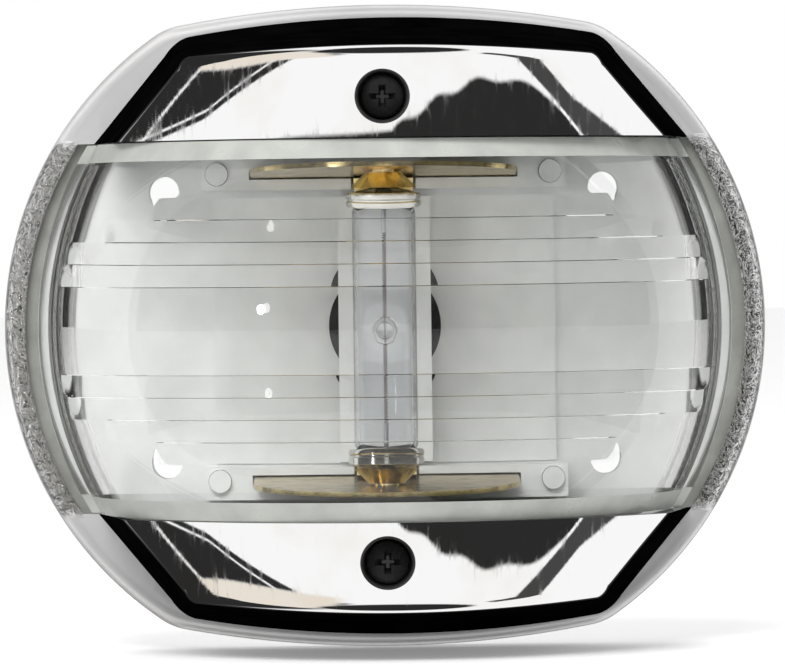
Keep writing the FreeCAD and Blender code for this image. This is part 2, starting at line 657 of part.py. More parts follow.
def wire_guard():
    """A white bridge behind the bulb that keeps the wires and terminals off it."""
    front = "base_thickness + platform_rise"
    back = "guard_depth - guard_thickness"
    pieces = [block("guard_bridge", "-guard_x", "guard_x", back, "guard_depth", "-guard_z", "guard_z")]
    for side, low in (("high", "guard_z - guard_foot"), ("low", "-guard_z")):
        for end, left in (("right", "guard_x - guard_foot"), ("left", "-guard_x")):
            name = f"guard_foot_{side}_{end}"
            right, high = f"{left} + guard_foot", f"{low} + guard_foot"
            pieces.append(block(name, left, right, front, "guard_depth", low, high))
    guard = doc.addObject("Part::MultiFuse", "guard_whole")
    guard.Shapes = pieces
    guard.Refine = True
    return sub_part(guard, "wire_guard")


def contact_carrier(side, placement):
    """A white bar, staked to the base, that grips the rear edge of a contact plate."""
    body = new_body(f"{side}_carrier_body")
    outline = new_sketch(body, f"{side}_carrier_outline", lift="base_thickness")
    draw_box(outline, "-carrier_outer", "carrier_low", "carrier_outer", "carrier_high")
    pad(body, f"{side}_carrier_pad", outline, "carrier_depth - base_thickness")
    slot = new_sketch(body, f"{side}_carrier_slot", lift="carrier_depth + 1")
    draw_box(slot, "-contact_x - 0.3", "slot_low", "contact_x + 0.3", "slot_high")
    pocket(body, f"{side}_carrier_slot_pocket", slot, "1 + carrier_depth - contact_rear + 0.3")
    notch = new_sketch(body, f"{side}_carrier_notch", lift="carrier_depth + 1")
    draw_box(notch, "-tab_half - 0.3", "carrier_low - 1", "tab_half + 0.3", "slot_low + 0.1")
    pocket(body, f"{side}_carrier_notch_pocket", notch, "1 + carrier_depth - base_thickness")
    holes = new_sketch(body, f"{side}_carrier_holes", lift="carrier_depth + 1")
    for end, turned in (("right", ""), ("left", "-")):
        draw_circle(holes, f"{turned}stake_x", "stake_z", "stake_radius + 0.05", f"hole_{end}")
    pocket(body, f"{side}_carrier_hole_pocket", holes, "1 + carrier_depth - base_thickness")
    return sub_part(body, f"{side}_contact_carrier", placement)


# --- Contacts and terminals ------------------------------------------------------------------


def contact_plate(side, placement):
    """A thin brass plate with a round nose, tilted outwards by the bulb it grips."""
    body = new_body(f"{side}_contact_body")
    outline = new_sketch(body, f"{side}_contact_outline", "XY_Plane", "-contact_sheet / 2")
    nose = "-(contact_nose - contact_rear)"
    corners = [("-contact_x", nose, "contact_x - 1"), ("contact_x", nose), ("contact_x", "0")]
    draw_closed(outline, corners + [("-contact_x", "0")])
    pad(body, f"{side}_contact_pad", outline, "contact_sheet")
    hole = new_sketch(body, f"{side}_contact_hole", "XY_Plane", "-1")
    draw_circle(hole, "0", "-(bulb_depth - contact_rear) / cos(contact_tilt)", "cup_shank + 0.1")
    pocket(body, f"{side}_contact_hole_pocket", hole, "2", forwards=True)
    rear = FreeCAD.Vector(0, -value("contact_rear"), value("contact_z"))
    tilt = FreeCAD.Rotation(FreeCAD.Vector(1, 0, 0), -value("contact_tilt"))
    body.Placement = FreeCAD.Placement(rear, tilt)
    return sub_part(body, f"{side}_contact_plate", placement)


def contact_cup(side, placement):
    """A turned brass cup that takes one end of the bulb, riveted through the contact plate."""
    body = new_body(f"{side}_cup_body")
    profile = new_sketch(body, f"{side}_cup_profile")
    rivet = "(cup_base + contact_sheet + 0.3)"
    corners = [("0", "cup_base - cup_wall"), ("cup_base_radius - cup_wall", "cup_base - cup_wall")]
    corners += [("cup_mouth_radius - cup_wall", "cup_mouth"), ("cup_mouth_radius", "cup_mouth")]
    corners += [("cup_base_radius", "cup_base"), ("cup_shank", "cup_base"), ("cup_shank", rivet)]
    corners += [("cup_base_radius", rivet), ("cup_base_radius - 0.4", f"{rivet} + 0.35")]
    draw_closed(profile, corners + [("0", f"{rivet} + 0.35")])
    turn(body, f"{side}_cup_ring", profile)
    body.Placement = FreeCAD.Placement(FreeCAD.Vector(0, -value("bulb_depth"), 0), FreeCAD.Rotation())
    return sub_part(body, f"{side}_contact_cup", placement)


def terminal_tab(side, placement):
    """A bent brass strip from a terminal screw, through the carrier, to the contact plate."""
    body = new_body(f"{side}_tab_body")
    profile = new_sketch(body, f"{side}_tab_profile", "YZ_Plane", "-tab_half")
    back = "-(base_thickness + platform_rise)"
    inner = f"({back} - contact_sheet)"
    corners = [(back, "tab_low"), (back, "slot_low"), ("-tab_reach", "slot_low")]
    corners += [("-tab_reach", "slot_low - contact_sheet"), (inner, "slot_low - contact_sheet")]
    draw_closed(profile, corners + [(inner, "tab_low")])
    pad(body, f"{side}_tab_pad", profile, "2 * tab_half")
    hole = new_sketch(body, f"{side}_tab_hole")
    draw_circle(hole, "0", "terminal_z", "shank_radius + 0.1")
    pocket(body, f"{side}_tab_hole_pocket", hole, "8", forwards=True)
    return sub_part(body, f"{side}_terminal_tab", placement)


def clamp_washer(side, placement):
    """A square washer that clamps the wire under a terminal screw."""
    body = new_body(f"{side}_washer_body")
    outline = new_sketch(body, f"{side}_washer_outline", lift="base_thickness + platform_rise + contact_sheet")
    low, high = "terminal_z - washer_half", "terminal_z + washer_half"
    draw_box(outline, "-washer_half", low, "washer_half", high)
    draw_circle(outline, "0", "terminal_z", "shank_radius + 0.1")
    pad(body, f"{side}_washer_pad", outline, "washer_thickness")
    return sub_part(body, f"{side}_clamp_washer", placement)


# --- Screws ----------------------------------------------------------------------------------


def screw(name, height, seat, length):
    """A cheese-head screw with a cross recess, seated at a depth, pointing back."""
    body = new_body(f"{name}_body")
    head = new_sketch(body, f"{name}_head_outline", lift=seat)
    draw_circle(head, "0", height, "head_radius")
    pad(body, f"{name}_head", head, "head_height")
    rim = value(seat) + value("head_height") - 0.01
    round_edges(body, f"{name}_head_rim", "0.45", lambda edge: edge.BoundBox.YMax < -rim)
    shank = new_sketch(body, f"{name}_shank_outline", lift=f"{seat} + 0.2")
    draw_circle(shank, "0", height, "shank_radius")
    thread = pad(body, f"{name}_shank", shank, f"{length} + 0.2")
    thread.Reversed = True
    cross = new_sketch(body, f"{name}_recess_outline", lift=f"{seat} + head_height + 1")
    reach, arm = "recess_radius", "recess_arm"
    corners = [(reach, f"-{arm}"), (reach, arm), (arm, arm), (arm, reach), (f"-{arm}", reach)]
    corners += [(f"-{arm}", arm), (f"-{reach}", arm), (f"-{reach}", f"-{arm}"), (f"-{arm}", f"-{arm}")]
    corners += [(f"-{arm}", f"-{reach}"), (arm, f"-{reach}"), (arm, f"-{arm}")]
    draw_closed(cross, [(across, f"{height} + {up}") for across, up in corners])
    pocket(body, f"{name}_recess", cross, "1 + recess_depth")
    return body


def cover_screw(side, placement):
    body = screw(f"{side}_screw", "screw_z", "screw_seat + seal_thickness", "screw_length")
    return sub_part(body, f"{side}_cover_screw", placement)


def terminal_screw(side, placement):
    seat = "base_thickness + platform_rise + contact_sheet + washer_thickness"
    body = screw(f"{side}_terminal", "terminal_z", seat, "4.4")
    return sub_part(body, f"{side}_terminal_screw", placement)


def ring(name, label, placement, outer, inner, near, far):
    """A round ring about a cover screw, between two depths."""
    body = new_body(name)
    outline = new_sketch(body, f"{name}_outline", lift=near)
    draw_circle(outline, "0", "screw_z", outer, "outer")
    draw_circle(outline, "0", "screw_z", inner, "inner")
    pad(body, f"{name}_pad", outline, f"({far}) - ({near})")
    return sub_part(body, label, placement)


def screw_seal(side, placement):
    label = f"{side}_screw_seal"
    far = "screw_seat + seal_thickness"
    return ring(f"{side}_seal", label, placement, "seal_radius", "shank_radius + 0.05", "screw_seat", far)


def threaded_insert(side, placement):
    label = f"{side}_threaded_insert"
    near = "pillar_end - insert_length"
    return ring(f"{side}_insert", label, placement, "insert_radius", "shank_radius + 0.05", near, "pillar_end")


# --- Bulb ------------------------------------------------------------------------------------


def bulb_ring(name, label, corners, placement=FREE):
    """A part of the bulb turned about the bulb's upright axis."""
    body = new_body(name)
    profile = new_sketch(body, f"{name}_profile")
    draw_closed(profile, corners)
    turn(body, f"{name}_ring", profile)
    body.Placement = FreeCAD.Placement(FreeCAD.Vector(0, -value("bulb_depth"), 0), FreeCAD.Rotation())
    return sub_part(body, label, placement)


def bulb_glass():
    inner = "glass_radius - glass_wall"
    corners = [(inner, "-glass_end"), ("glass_radius", "-glass_end"), ("glass_radius", "glass_end")]
    return bulb_ring("glass", "bulb_glass", corners + [(inner, "glass_end")])


def bulb_cap(side, placement):
    """A nickel-plated end cap: a sleeve round the glass that closes in a cone."""
    corners = [("lead_radius", "glass_end"), ("glass_radius", "glass_end"), ("glass_radius", "cap_low")]
    corners += [("cap_radius", "cap_low"), ("cap_radius", "cap_high"), ("cup_mouth_radius - 0.6", "cup_mouth - 0.1")]
    corners += [("cap_tip_radius", "cap_tip - 0.3"), ("cap_tip_radius - 0.3", "cap_tip - 0.2")]
    return bulb_ring(f"{side}_cap", f"bulb_{side}_cap", corners + [("lead_radius", "cap_tip - 0.2")], placement)


def bulb_lead(side, placement):
    """A lead wire through the cap, with its drop of solder outside."""
    solder = "cap_tip - 0.2"
    corners = [("0", "filament_end"), ("lead_radius", "filament_end"), ("lead_radius", solder)]
    corners += [("0.8", solder), ("0.5", "cap_tip - 0.05"), ("0", "cap_tip - 0.05")]
    return bulb_ring(f"{side}_lead", f"bulb_{side}_lead", corners, placement)


def bulb_filament():
    corners = [("0", "-filament_end"), ("filament_radius", "-filament_end")]
    return bulb_ring("filament", "bulb_filament", corners + [("filament_radius", "filament_end"), ("0", "filament_end")])


def build():
    """Makes every sub-part of the light."""
    steel_cover()
    lens()
    lens_gasket()
    base_plate()
    cable_grommet()
    wire_guard()
    bulb_glass()
    bulb_filament()
    pairs = [contact_carrier, contact_plate, contact_cup, terminal_tab, clamp_washer, terminal_screw]
    pairs += [cover_screw, screw_seal, threaded_insert, bulb_cap, bulb_lead]
    for side, placement in SIDES:
        for make in pairs:
            make(side, placement)


def check():
    """Stops unless every object of the document worked out and every sub-part is one valid solid."""
    doc.recompute()
    for each in doc.Objects:
        if "Invalid" in each.State or "Error" in each.State:
            raise RuntimeError(f"{each.Name} failed: {each.State}")
    for each in subparts:
        shape = each.Shape
        if shape.isNull() or not shape.isValid() or len(shape.Solids) != 1:
            raise RuntimeError(f"{each.Label} is not one valid solid")


def export():
    os.makedirs("parts", exist_ok=True)
    for each in subparts:
        each.Shape.exportStep(f"parts/{each.Label}.step")
        print(f"{each.Label}: {each.Shape.Volume:.1f} mm3")


build()
check()
export()
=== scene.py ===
import json
import math

import bmesh
import bpy
import numpy as np
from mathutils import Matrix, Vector


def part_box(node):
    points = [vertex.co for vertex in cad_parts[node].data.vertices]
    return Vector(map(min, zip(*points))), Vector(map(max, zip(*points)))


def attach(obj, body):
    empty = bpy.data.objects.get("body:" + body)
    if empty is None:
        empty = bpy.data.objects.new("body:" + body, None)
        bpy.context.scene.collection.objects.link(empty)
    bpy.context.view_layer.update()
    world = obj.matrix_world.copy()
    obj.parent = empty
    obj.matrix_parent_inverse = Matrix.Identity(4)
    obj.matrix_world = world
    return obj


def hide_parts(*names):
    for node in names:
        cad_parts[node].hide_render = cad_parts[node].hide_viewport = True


# Looks for a surface-mounted navigation light: a polished steel cover with two hoods, a clear
# barrel lens and a festoon bulb. Frame: X right, Z up, the light faces -Y, metres.

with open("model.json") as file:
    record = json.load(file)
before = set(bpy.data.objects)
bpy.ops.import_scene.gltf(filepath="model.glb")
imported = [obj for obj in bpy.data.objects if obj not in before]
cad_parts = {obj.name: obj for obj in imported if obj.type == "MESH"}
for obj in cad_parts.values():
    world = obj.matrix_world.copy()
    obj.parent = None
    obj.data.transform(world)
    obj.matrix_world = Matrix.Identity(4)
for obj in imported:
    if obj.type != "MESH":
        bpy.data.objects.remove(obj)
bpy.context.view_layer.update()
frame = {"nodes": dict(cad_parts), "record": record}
nodes = frame["nodes"]
MM = 0.001


def low(node):
    return np.array(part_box(node)[0])


def high(node):
    return np.array(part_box(node)[1])


# --- Sizes, in metres, from the frame where the frame has them -------------------------------

HALF_WIDTH = high("steel_cover")[0]
HALF_HEIGHT = high("steel_cover")[2]
SIDE_RADIUS = 38.7 * MM
CROWN_RADIUS = 120 * MM
CORNER_RADIUS = 7 * MM
FLANGE_DEPTH = 5 * MM
FLANGE_ROUND = 1.7 * MM
RAIL_WIDTH = 2.3 * MM
RIM_FLAT = 2.18 * MM
SKIN = 1.4 * MM
CAVITY_INSET = 1.75 * MM
PLATE_BACK = -low("lens_gasket")[1]
GASKET_BACK = -high("lens_gasket")[1]
WINDOW_HALF = 20.15 * MM
AXIS_DEPTH = 5.3 * MM

HOOD_FOOT_X = 31.9 * MM
HOOD_CORNER = (23.3 * MM, 30.6 * MM)
HOOD_CROWN = 2.1 * MM
HOOD_ROUND = 4.2 * MM
HOOD_SHIFT = 0.9 * MM
HOOD_DRAFT = math.tan(math.radians(8.0))
HOOD_TOP_DRAFT = math.tan(math.radians(6.0))
FACE_RADIUS = 31.6 * MM
FACE_SLOPE = math.radians(24.5)
FACE_SLOPE_TOP = math.radians(32.5)
FACE_RISE = 9.3 * MM
FACET_RADIUS = 60 * MM
FACE_TURN = math.radians(40)
EDGE_ROUND = 1.0 * MM
FOOT_ROUND = 1.2 * MM
# The foot's rounding is full at the top of a hood and this share of it at the sides.
FOOT_SIDE_SHARE = 0.25
# The hoods are made longer than they end, by these lengths, and cut off at the window.
BELOW_WINDOW = 6 * MM
FACE_BELOW_WINDOW = 1.5 * MM
# The face's lines draw together a little towards the window.
FACE_NARROWING = 0.97
ROUND_POINTS = 6
WALL_POINTS = 5
FACE_POINTS = 57
INSIDE_POINTS = 9

SCREW_Z = (high("upper_cover_screw")[2] + low("upper_cover_screw")[2]) / 2
SCREW_SEAT = -low("upper_screw_seal")[1]
HOLE_RADIUS = 2.9 * MM
BORE_RADIUS = 2.45 * MM
SHANK_HOLE = 1.45 * MM
POST_RADIUS = 3.5 * MM
POST_END = 26.6 * MM

LENS_RADIUS = -low("lens")[1] - AXIS_DEPTH
LENS_END_RADIUS = 31.05 * MM
LENS_END = 20 * MM
LENS_WALL = 2.2 * MM
FROST_START = 17.9 * MM
TONGUE_RADIUS = 27.8 * MM
TONGUE_END = 20.6 * MM
LENS_END_INSIDE = 18.6 * MM
LENS_FLANGE_X = high("lens")[0]
LENS_FLANGE_DEPTH = 5 * MM
STEP_DEPTH = 0.35 * MM
# Each step's start and end height and the half width that it runs across, in millimetres.
LENS_STEPS = [(4.5, 6.8, 33.2), (6.8, 9.1, 32.4), (9.1, 11.4, 28.6), (11.4, 13.7, 23.4)]
STEP_FADE = 0.8 * MM

SHARP = math.radians(32)
LENS_SHARP = math.radians(18)

BULB_AXIS = (low("bulb_glass") + high("bulb_glass")) / 2


# --- Mesh helpers ----------------------------------------------------------------------------


def new_object(name, mesh):
    made = bpy.data.objects.new(name, mesh)
    bpy.context.scene.collection.objects.link(made)
    return made


def finish_mesh(name, bm, sharp=SHARP):
    """Turns a bmesh into a smooth-shaded object whose edges above an angle stay crisp."""
    bmesh.ops.remove_doubles(bm, verts=bm.verts, dist=1e-7)
    bmesh.ops.recalc_face_normals(bm, faces=bm.faces)
    mesh = bpy.data.meshes.new(name)
    bm.to_mesh(mesh)
    bm.free()
    mesh.shade_smooth()
    mesh.set_sharp_from_angle(angle=sharp)
    return new_object(name, mesh)


def add_grid(bm, rows, close_rows=False, close_columns=False):
    """Adds a grid of quads through rows of points and returns the vertices, row by row."""
    made = [[bm.verts.new(point) for point in row] for row in rows]
    row_count, column_count = len(rows), len(rows[0])
    for i in range(row_count if close_rows else row_count - 1):
        for j in range(column_count if close_columns else column_count - 1):
            after, beside = (i + 1) % row_count, (j + 1) % column_count
            corners = [made[i][j], made[i][beside], made[after][beside], made[after][j]]
            bm.faces.new(corners)
    return made


def lathe(name, profile, centre, axis="Z", turns=64):
    """Turns a profile of (radius, height) points about an axis through centre."""
    rows = []
    for step in range(turns):
        angle = 2 * math.pi * step / turns
        side, up = math.cos(angle), math.sin(angle)
        if axis == "Z":
            row = [(centre[0] + r * side, centre[1] + r * up, centre[2] + h) for r, h in profile]
        else:
            row = [(centre[0] + r * side, centre[1] - h, centre[2] + r * up) for r, h in profile]
        rows.append(row)
    bm = bmesh.new()
    add_grid(bm, rows, close_rows=True)
    return finish_mesh(name, bm)


def cut_out(made, tool, crossing=False):
    """Takes a tool's shape out of an object and deletes the tool; crossing means that the tool's
    own parts run through each other."""
    modifier = made.modifiers.new("cut", "BOOLEAN")
    modifier.operation = "DIFFERENCE"
    modifier.solver = "EXACT"
    modifier.use_self = crossing
    modifier.object = tool
    graph = bpy.context.evaluated_depsgraph_get()
    mesh = bpy.data.meshes.new_from_object(made.evaluated_get(graph))
    made.modifiers.clear()
    made.data = mesh
    bpy.data.objects.remove(tool)
    mesh.set_sharp_from_angle(angle=SHARP)


def keep(made, body, material, slot, *replaced):
    """Gives a piece its body and material, and hides the CAD nodes that it stands for. The slot is not
    used.
    """
    if not made.data.materials:
        made.data.materials.append(material)
    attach(made, body)
    if replaced:
        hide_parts(*replaced)
    return made


def bezier(start, middle, end, count):
    """Points on a quadratic curve from start to end, both ends left out."""
    points = []
    for step in range(1, count + 1):
        t = step / (count + 1)
        points.append((1 - t) ** 2 * start + 2 * t * (1 - t) * middle + t * t * end)
    return points


# --- Materials -------------------------------------------------------------------------------


class Shader:
    """A material under construction, with short names for the nodes it needs."""

    def __init__(self, name):
        self.material = bpy.data.materials.new(name)
        self.material.use_nodes = True
        self.tree = self.material.node_tree
        self.shader = self.tree.nodes["Principled BSDF"]
        self.place = self.node("ShaderNodeTexCoord").outputs["Object"]

    def node(self, kind):
        return self.tree.nodes.new(kind)

    def link(self, start, end):
        self.tree.links.new(start, end)

    def fixed(self, **sockets):
        for name, number in sockets.items():
            self.shader.inputs[name.replace("_", " ")].default_value = number

    def stretched(self, scale, turn=(0, 0, 0)):
        mapping = self.node("ShaderNodeMapping")
        mapping.inputs["Scale"].default_value = scale
        mapping.inputs["Rotation"].default_value = turn
        self.link(self.place, mapping.inputs["Vector"])
        return mapping.outputs["Vector"]

    def noise(self, scale, detail=4, roughness=0.55, place=None, distortion=0):
        noise = self.node("ShaderNodeTexNoise")
        noise.inputs["Scale"].default_value = scale
        noise.inputs["Detail"].default_value = detail
        noise.inputs["Roughness"].default_value = roughness
        noise.inputs["Distortion"].default_value = distortion
        self.link(place or self.place, noise.inputs["Vector"])
        return noise.outputs["Fac"]

    def span(self, value, low_in, high_in, low_out=0.0, high_out=1.0):
        spread = self.node("ShaderNodeMapRange")
        for name, number in zip(("From Min", "From Max", "To Min", "To Max"),
                                (low_in, high_in, low_out, high_out)):
            spread.inputs[name].default_value = number
        self.link(value, spread.inputs["Value"])
        return spread.outputs["Result"]

    def math(self, kind, first, second):
        made = self.node("ShaderNodeMath")
        made.operation = kind
        for socket, part in zip(made.inputs, (first, second)):
            if isinstance(part, (int, float)):
                socket.default_value = part
            else:
                self.link(part, socket)
        return made.outputs["Value"]

    def mix(self, factor, first, second):
        made = self.node("ShaderNodeMix")
        made.data_type = "RGBA"
        self.link(factor, made.inputs["Factor"])
        for socket, part in ((made.inputs["A"], first), (made.inputs["B"], second)):
            if isinstance(part, tuple):
                socket.default_value = (*part, 1)
            else:
                self.link(part, socket)
        return made.outputs["Result"]

    def colour(self, output):
        self.link(output, self.shader.inputs["Base Color"])

    def rough(self, output):
        self.link(output, self.shader.inputs["Roughness"])

    def bump(self, height, distance, strength=1.0):
        bump = self.node("ShaderNodeBump")
        bump.inputs["Strength"].default_value = strength
        bump.inputs["Distance"].default_value = distance
        self.link(height, bump.inputs["Height"])
        previous = self.shader.inputs["Normal"].links
        if previous:
            self.link(previous[0].from_socket, bump.inputs["Normal"])
        self.link(bump.outputs["Normal"], self.shader.inputs["Normal"])

    def height_of_place(self, axis):
        split = self.node("ShaderNodeSeparateXYZ")
        self.link(self.place, split.inputs["Vector"])
        return split.outputs[axis]


def satin_rim(steel):
    """1 on the satin rim, 0 on what stands in front of it."""
    depth = steel.math("MULTIPLY", steel.height_of_place("Y"), -1)
    return steel.span(depth, FLANGE_DEPTH + 0.05 * MM, FLANGE_DEPTH + 0.25 * MM, 1, 0)


def satin_shade(steel):
    """The satin finish's two greys, in broad patches."""
    patches = steel.span(steel.noise(45, 3), 0.35, 0.65)
    return steel.mix(patches, (0.68, 0.68, 0.68), (0.80, 0.80, 0.80))


def polished_steel():
    """Polished cast steel: faint waves, fine scratches, warm smears and a satin rim."""
    steel = Shader("polished_steel")
    rim = satin_rim(steel)
    steel.link(steel.span(rim, 0, 1, 1.0, 0.5), steel.shader.inputs["Metallic"])
    smear = steel.span(steel.noise(90, 3), 0.5, 0.72)
    bright = steel.mix(smear, (0.93, 0.93, 0.93), (0.87, 0.85, 0.81))
    steel.colour(steel.mix(rim, bright, satin_shade(steel)))
    fine = steel.noise(300, 4, 0.7, place=steel.stretched((6, 1, 0.5), (0, math.radians(25), 0)))
    brushed = steel.span(fine, 0.5, 0.8, 0.02, 0.16)
    satin = steel.span(fine, 0.3, 0.7, 0.3, 0.4)
    steel.rough(steel.math("MAXIMUM", brushed, steel.math("MULTIPLY", rim, satin)))
    steel.bump(steel.noise(38, 1), 0.00004, 0.5)
    steel.bump(fine, 0.000003, 0.6)
    return steel.material


def cast_steel():
    """The rim: satin above and below, and left as cast beside the window."""
    steel = Shader("cast_steel")
    height = steel.math("ABSOLUTE", steel.height_of_place("Z"), 0)
    beside = steel.span(height, WINDOW_HALF - 0.6 * MM, WINDOW_HALF + 0.4 * MM, 1, 0)
    depth = steel.math("MULTIPLY", steel.height_of_place("Y"), -1)
    front = steel.span(depth, FLANGE_DEPTH - 1.2 * MM, FLANGE_DEPTH - 0.5 * MM)
    bare = steel.math("MULTIPLY", beside, front)
    steel.link(steel.span(bare, 0, 1, 0.5, 1.0), steel.shader.inputs["Metallic"])
    grit = steel.noise(2300, 4, 0.6)
    lumps = steel.span(steel.noise(1300, 2, 0.5, distortion=0.8), 0.3, 0.7)
    grain = steel.math("ADD", lumps, steel.math("MULTIPLY", grit, 0.6))
    steel.colour(steel.mix(bare, satin_shade(steel), (0.95, 0.95, 0.94)))
    satin = steel.math("MULTIPLY", steel.math("SUBTRACT", 1, bare), 0.35)
    steel.rough(steel.math("MAXIMUM", satin, steel.span(grit, 0.3, 0.7, 0.05, 0.2)))
    steel.bump(steel.math("MULTIPLY", grain, bare), 0.0004, 1.0)
    steel.bump(steel.noise(50, 1), 0.00004, 0.4)
    return steel.material


def clear_plastic(name, ior, tint):
    """Clear moulded plastic with faint moulding waves and handling haze."""
    plastic = Shader(name)
    plastic.fixed(Transmission_Weight=1.0, IOR=ior)
    haze = plastic.noise(160, 5)
    plastic.colour(plastic.mix(haze, tint, tuple(0.97 * part for part in tint)))
    plastic.rough(plastic.span(haze, 0.5, 0.8, 0.0, 0.035))
    plastic.bump(plastic.noise(60, 2), 0.00005, 0.25)
    return plastic.material


def moulded(name, dark, light, rough, grain, depth, metallic=0.0, specular=0.5):
    """A plain finish with colour and gloss variation and a fine surface grain."""
    plain = Shader(name)
    plain.fixed(Metallic=metallic, Specular_IOR_Level=specular)
    broad = plain.noise(220, 4)
    plain.colour(plain.mix(plain.span(broad, 0.35, 0.7), light, dark))
    plain.rough(plain.span(broad, 0.3, 0.7, rough[0], rough[1]))
    plain.bump(plain.noise(grain, 5), depth, 0.6)
    return plain.material


def brass_sheet():
    """Stamped brass: rolling marks, dents, tarnish blotches."""
    brass = Shader("brass")
    brass.fixed(Metallic=1.0)
    blotch = brass.span(brass.noise(420, 6, 0.65), 0.5, 0.72)
    brass.colour(brass.mix(blotch, (0.84, 0.68, 0.34), (0.34, 0.23, 0.08)))
    rolled = brass.noise(900, 3, place=brass.stretched((0.4, 1.5, 1)))
    brass.rough(brass.span(rolled, 0.3, 0.7, 0.10, 0.24))
    brass.bump(rolled, 0.00001, 0.5)
    brass.bump(brass.noise(180, 2), 0.00015, 0.6)
    return brass.material


POLISHED = polished_steel()
CAST = cast_steel()
CLEAR = clear_plastic("clear_lens", 1.49, (0.985, 0.99, 0.985))
GLASS = clear_plastic("bulb_glass", 1.5, (0.93, 0.94, 0.96))
RUBBER = moulded("rubber", (0.24, 0.245, 0.225), (0.33, 0.335, 0.31), (0.5, 0.7), 3000, 0.00006)
WHITE = moulded("white_plastic", (0.74, 0.75, 0.74), (0.84, 0.85, 0.84), (0.28, 0.42), 1600, 0.00002)
BRASS = brass_sheet()
ZINC = moulded("zinc_plate", (0.55, 0.56, 0.58), (0.78, 0.79, 0.80), (0.2, 0.38), 2200, 0.00002, 1.0)
BLACK = moulded("black_screw", (0.006, 0.006, 0.006), (0.02, 0.02, 0.02), (0.18, 0.34), 1800, 0.00003,
                specular=0.8)
# Painted dark reflection: the hoods' steep polished walls are painted near-black, matt and without
# specular, in place of the dark surroundings they mirror.
WALL_PAINTED_REFLECTION = moulded("wall_painted_dark_reflection", (0.0005, 0.0005, 0.0005), (0.002, 0.002, 0.002), (0.5, 0.7), 1500,
               0.00002, specular=0.0)
INSIDE = moulded("cast_inside", (0.50, 0.50, 0.49), (0.66, 0.66, 0.65), (0.4, 0.6), 1200, 0.0001, 0.3)
FROSTED = moulded("frosted_end", (0.33, 0.345, 0.32), (0.42, 0.43, 0.40), (0.25, 0.4), 700, 0.00002)
GROMMET = moulded("black_rubber", (0.012, 0.012, 0.012), (0.03, 0.03, 0.03), (0.5, 0.7), 2500, 0.00005)
# Painted shade: the polished steel counterbore round each cover screw is painted near-black for the
# darkness of the deep hole.
WELL_PAINTED_SHADE = moulded("screw_well_painted_shade", (0.01, 0.01, 0.01), (0.03, 0.03, 0.03), (0.45, 0.6), 2500, 0.00005,
               specular=0.3)
NICKEL = moulded("nickel_plate", (0.60, 0.58, 0.54), (0.86, 0.85, 0.82), (0.08, 0.2), 900, 0.00002, 1.0)
SOLDER = moulded("solder", (0.45, 0.45, 0.46), (0.66, 0.66, 0.67), (0.25, 0.45), 1200, 0.00005, 1.0)
TUNGSTEN = moulded("filament", (0.10, 0.045, 0.035), (0.20, 0.10, 0.08), (0.3, 0.5), 4000, 0.00001, 0.8)

MATERIALS = {"polished_steel": POLISHED, "clear_lens": CLEAR, "bulb_glass": GLASS,
             "rubber": RUBBER, "white_plastic": WHITE, "brass": BRASS, "zinc_plate": ZINC,
             "black_screw": BLACK, "nickel_plate": NICKEL, "solder": SOLDER, "filament": TUNGSTEN}


# --- Outline of the rim ----------------------------------------------------------------------


def arc(centre, radius, start, end, count):
    """Points on an arc from start to end angle, the last left out."""
    steps = (start + (end - start) * step / count for step in range(count))
    return [(centre[0] + radius * math.cos(a), centre[1] + radius * math.sin(a)) for a in steps]


def corner_centre():
    """Where the rim's corner rounding is centred: inside both big arcs by its own radius."""
    side, crown = HALF_WIDTH - SIDE_RADIUS, HALF_HEIGHT - CROWN_RADIUS
    reach_side, reach_crown = SIDE_RADIUS - CORNER_RADIUS, CROWN_RADIUS - CORNER_RADIUS
    apart = math.hypot(side, crown)
    along = (reach_side ** 2 - reach_crown ** 2 + apart ** 2) / (2 * apart)
    across = math.sqrt(reach_side ** 2 - along ** 2)
    ux, uz = -side / apart, crown / apart
    return side + along * ux - across * uz, along * uz + across * ux


def outline(inset=0.0):
    """The rim's outline, moved inwards by inset, as points round the whole light."""
    side, crown = (HALF_WIDTH - SIDE_RADIUS, 0.0), (0.0, HALF_HEIGHT - CROWN_RADIUS)
    corner = corner_centre()
    low_turn = math.atan2(corner[1] - side[1], corner[0] - side[0])
    high_turn = math.atan2(corner[1] - crown[1], corner[0] - crown[0])
    quarter = arc(side, SIDE_RADIUS - inset, 0, low_turn, 60)
    quarter += arc(corner, CORNER_RADIUS - inset, low_turn, high_turn, 16)
    quarter += arc(crown, CROWN_RADIUS - inset, high_turn, math.pi / 2, 60)
    top = (0.0, HALF_HEIGHT - inset)
    half = quarter + [top] + [(-x, z) for x, z in reversed(quarter)]
    return half + [(x, -z) for x, z in reversed(half[1:-1])]


def ring(name, section):
    """A closed ring round the outline, from a section of (inset, depth) points."""
    rows = [[(x, -depth, z) for x, z in outline(inset)] for inset, depth in section]
    bm = bmesh.new()
    add_grid(bm, rows, close_rows=True, close_columns=True)
    return finish_mesh(name, bm)


def quarter_round(radius, depth, count=10):
    """(inset, depth) points rounding the rim's outer front edge."""
    turns = (math.pi / 2 * step / count for step in range(count + 1))
    return [(radius * (1 - math.cos(a)), depth - radius * (1 - math.sin(a))) for a in turns]


def build_rim():
    fine = 0.12 * MM
    section = [(CAVITY_INSET, 0.0), (fine * 2, 0.0), (0.0, fine * 2)]
    section += quarter_round(FLANGE_ROUND, FLANGE_DEPTH)
    section += [(RAIL_WIDTH - fine, FLANGE_DEPTH), (RAIL_WIDTH, FLANGE_DEPTH - fine)]
    section += [(RAIL_WIDTH, PLATE_BACK + 0.02 * MM), (CAVITY_INSET, PLATE_BACK + 0.02 * MM)]
    return keep(ring("cover_rim", section), "cover", CAST, "polished_steel", "steel_cover")


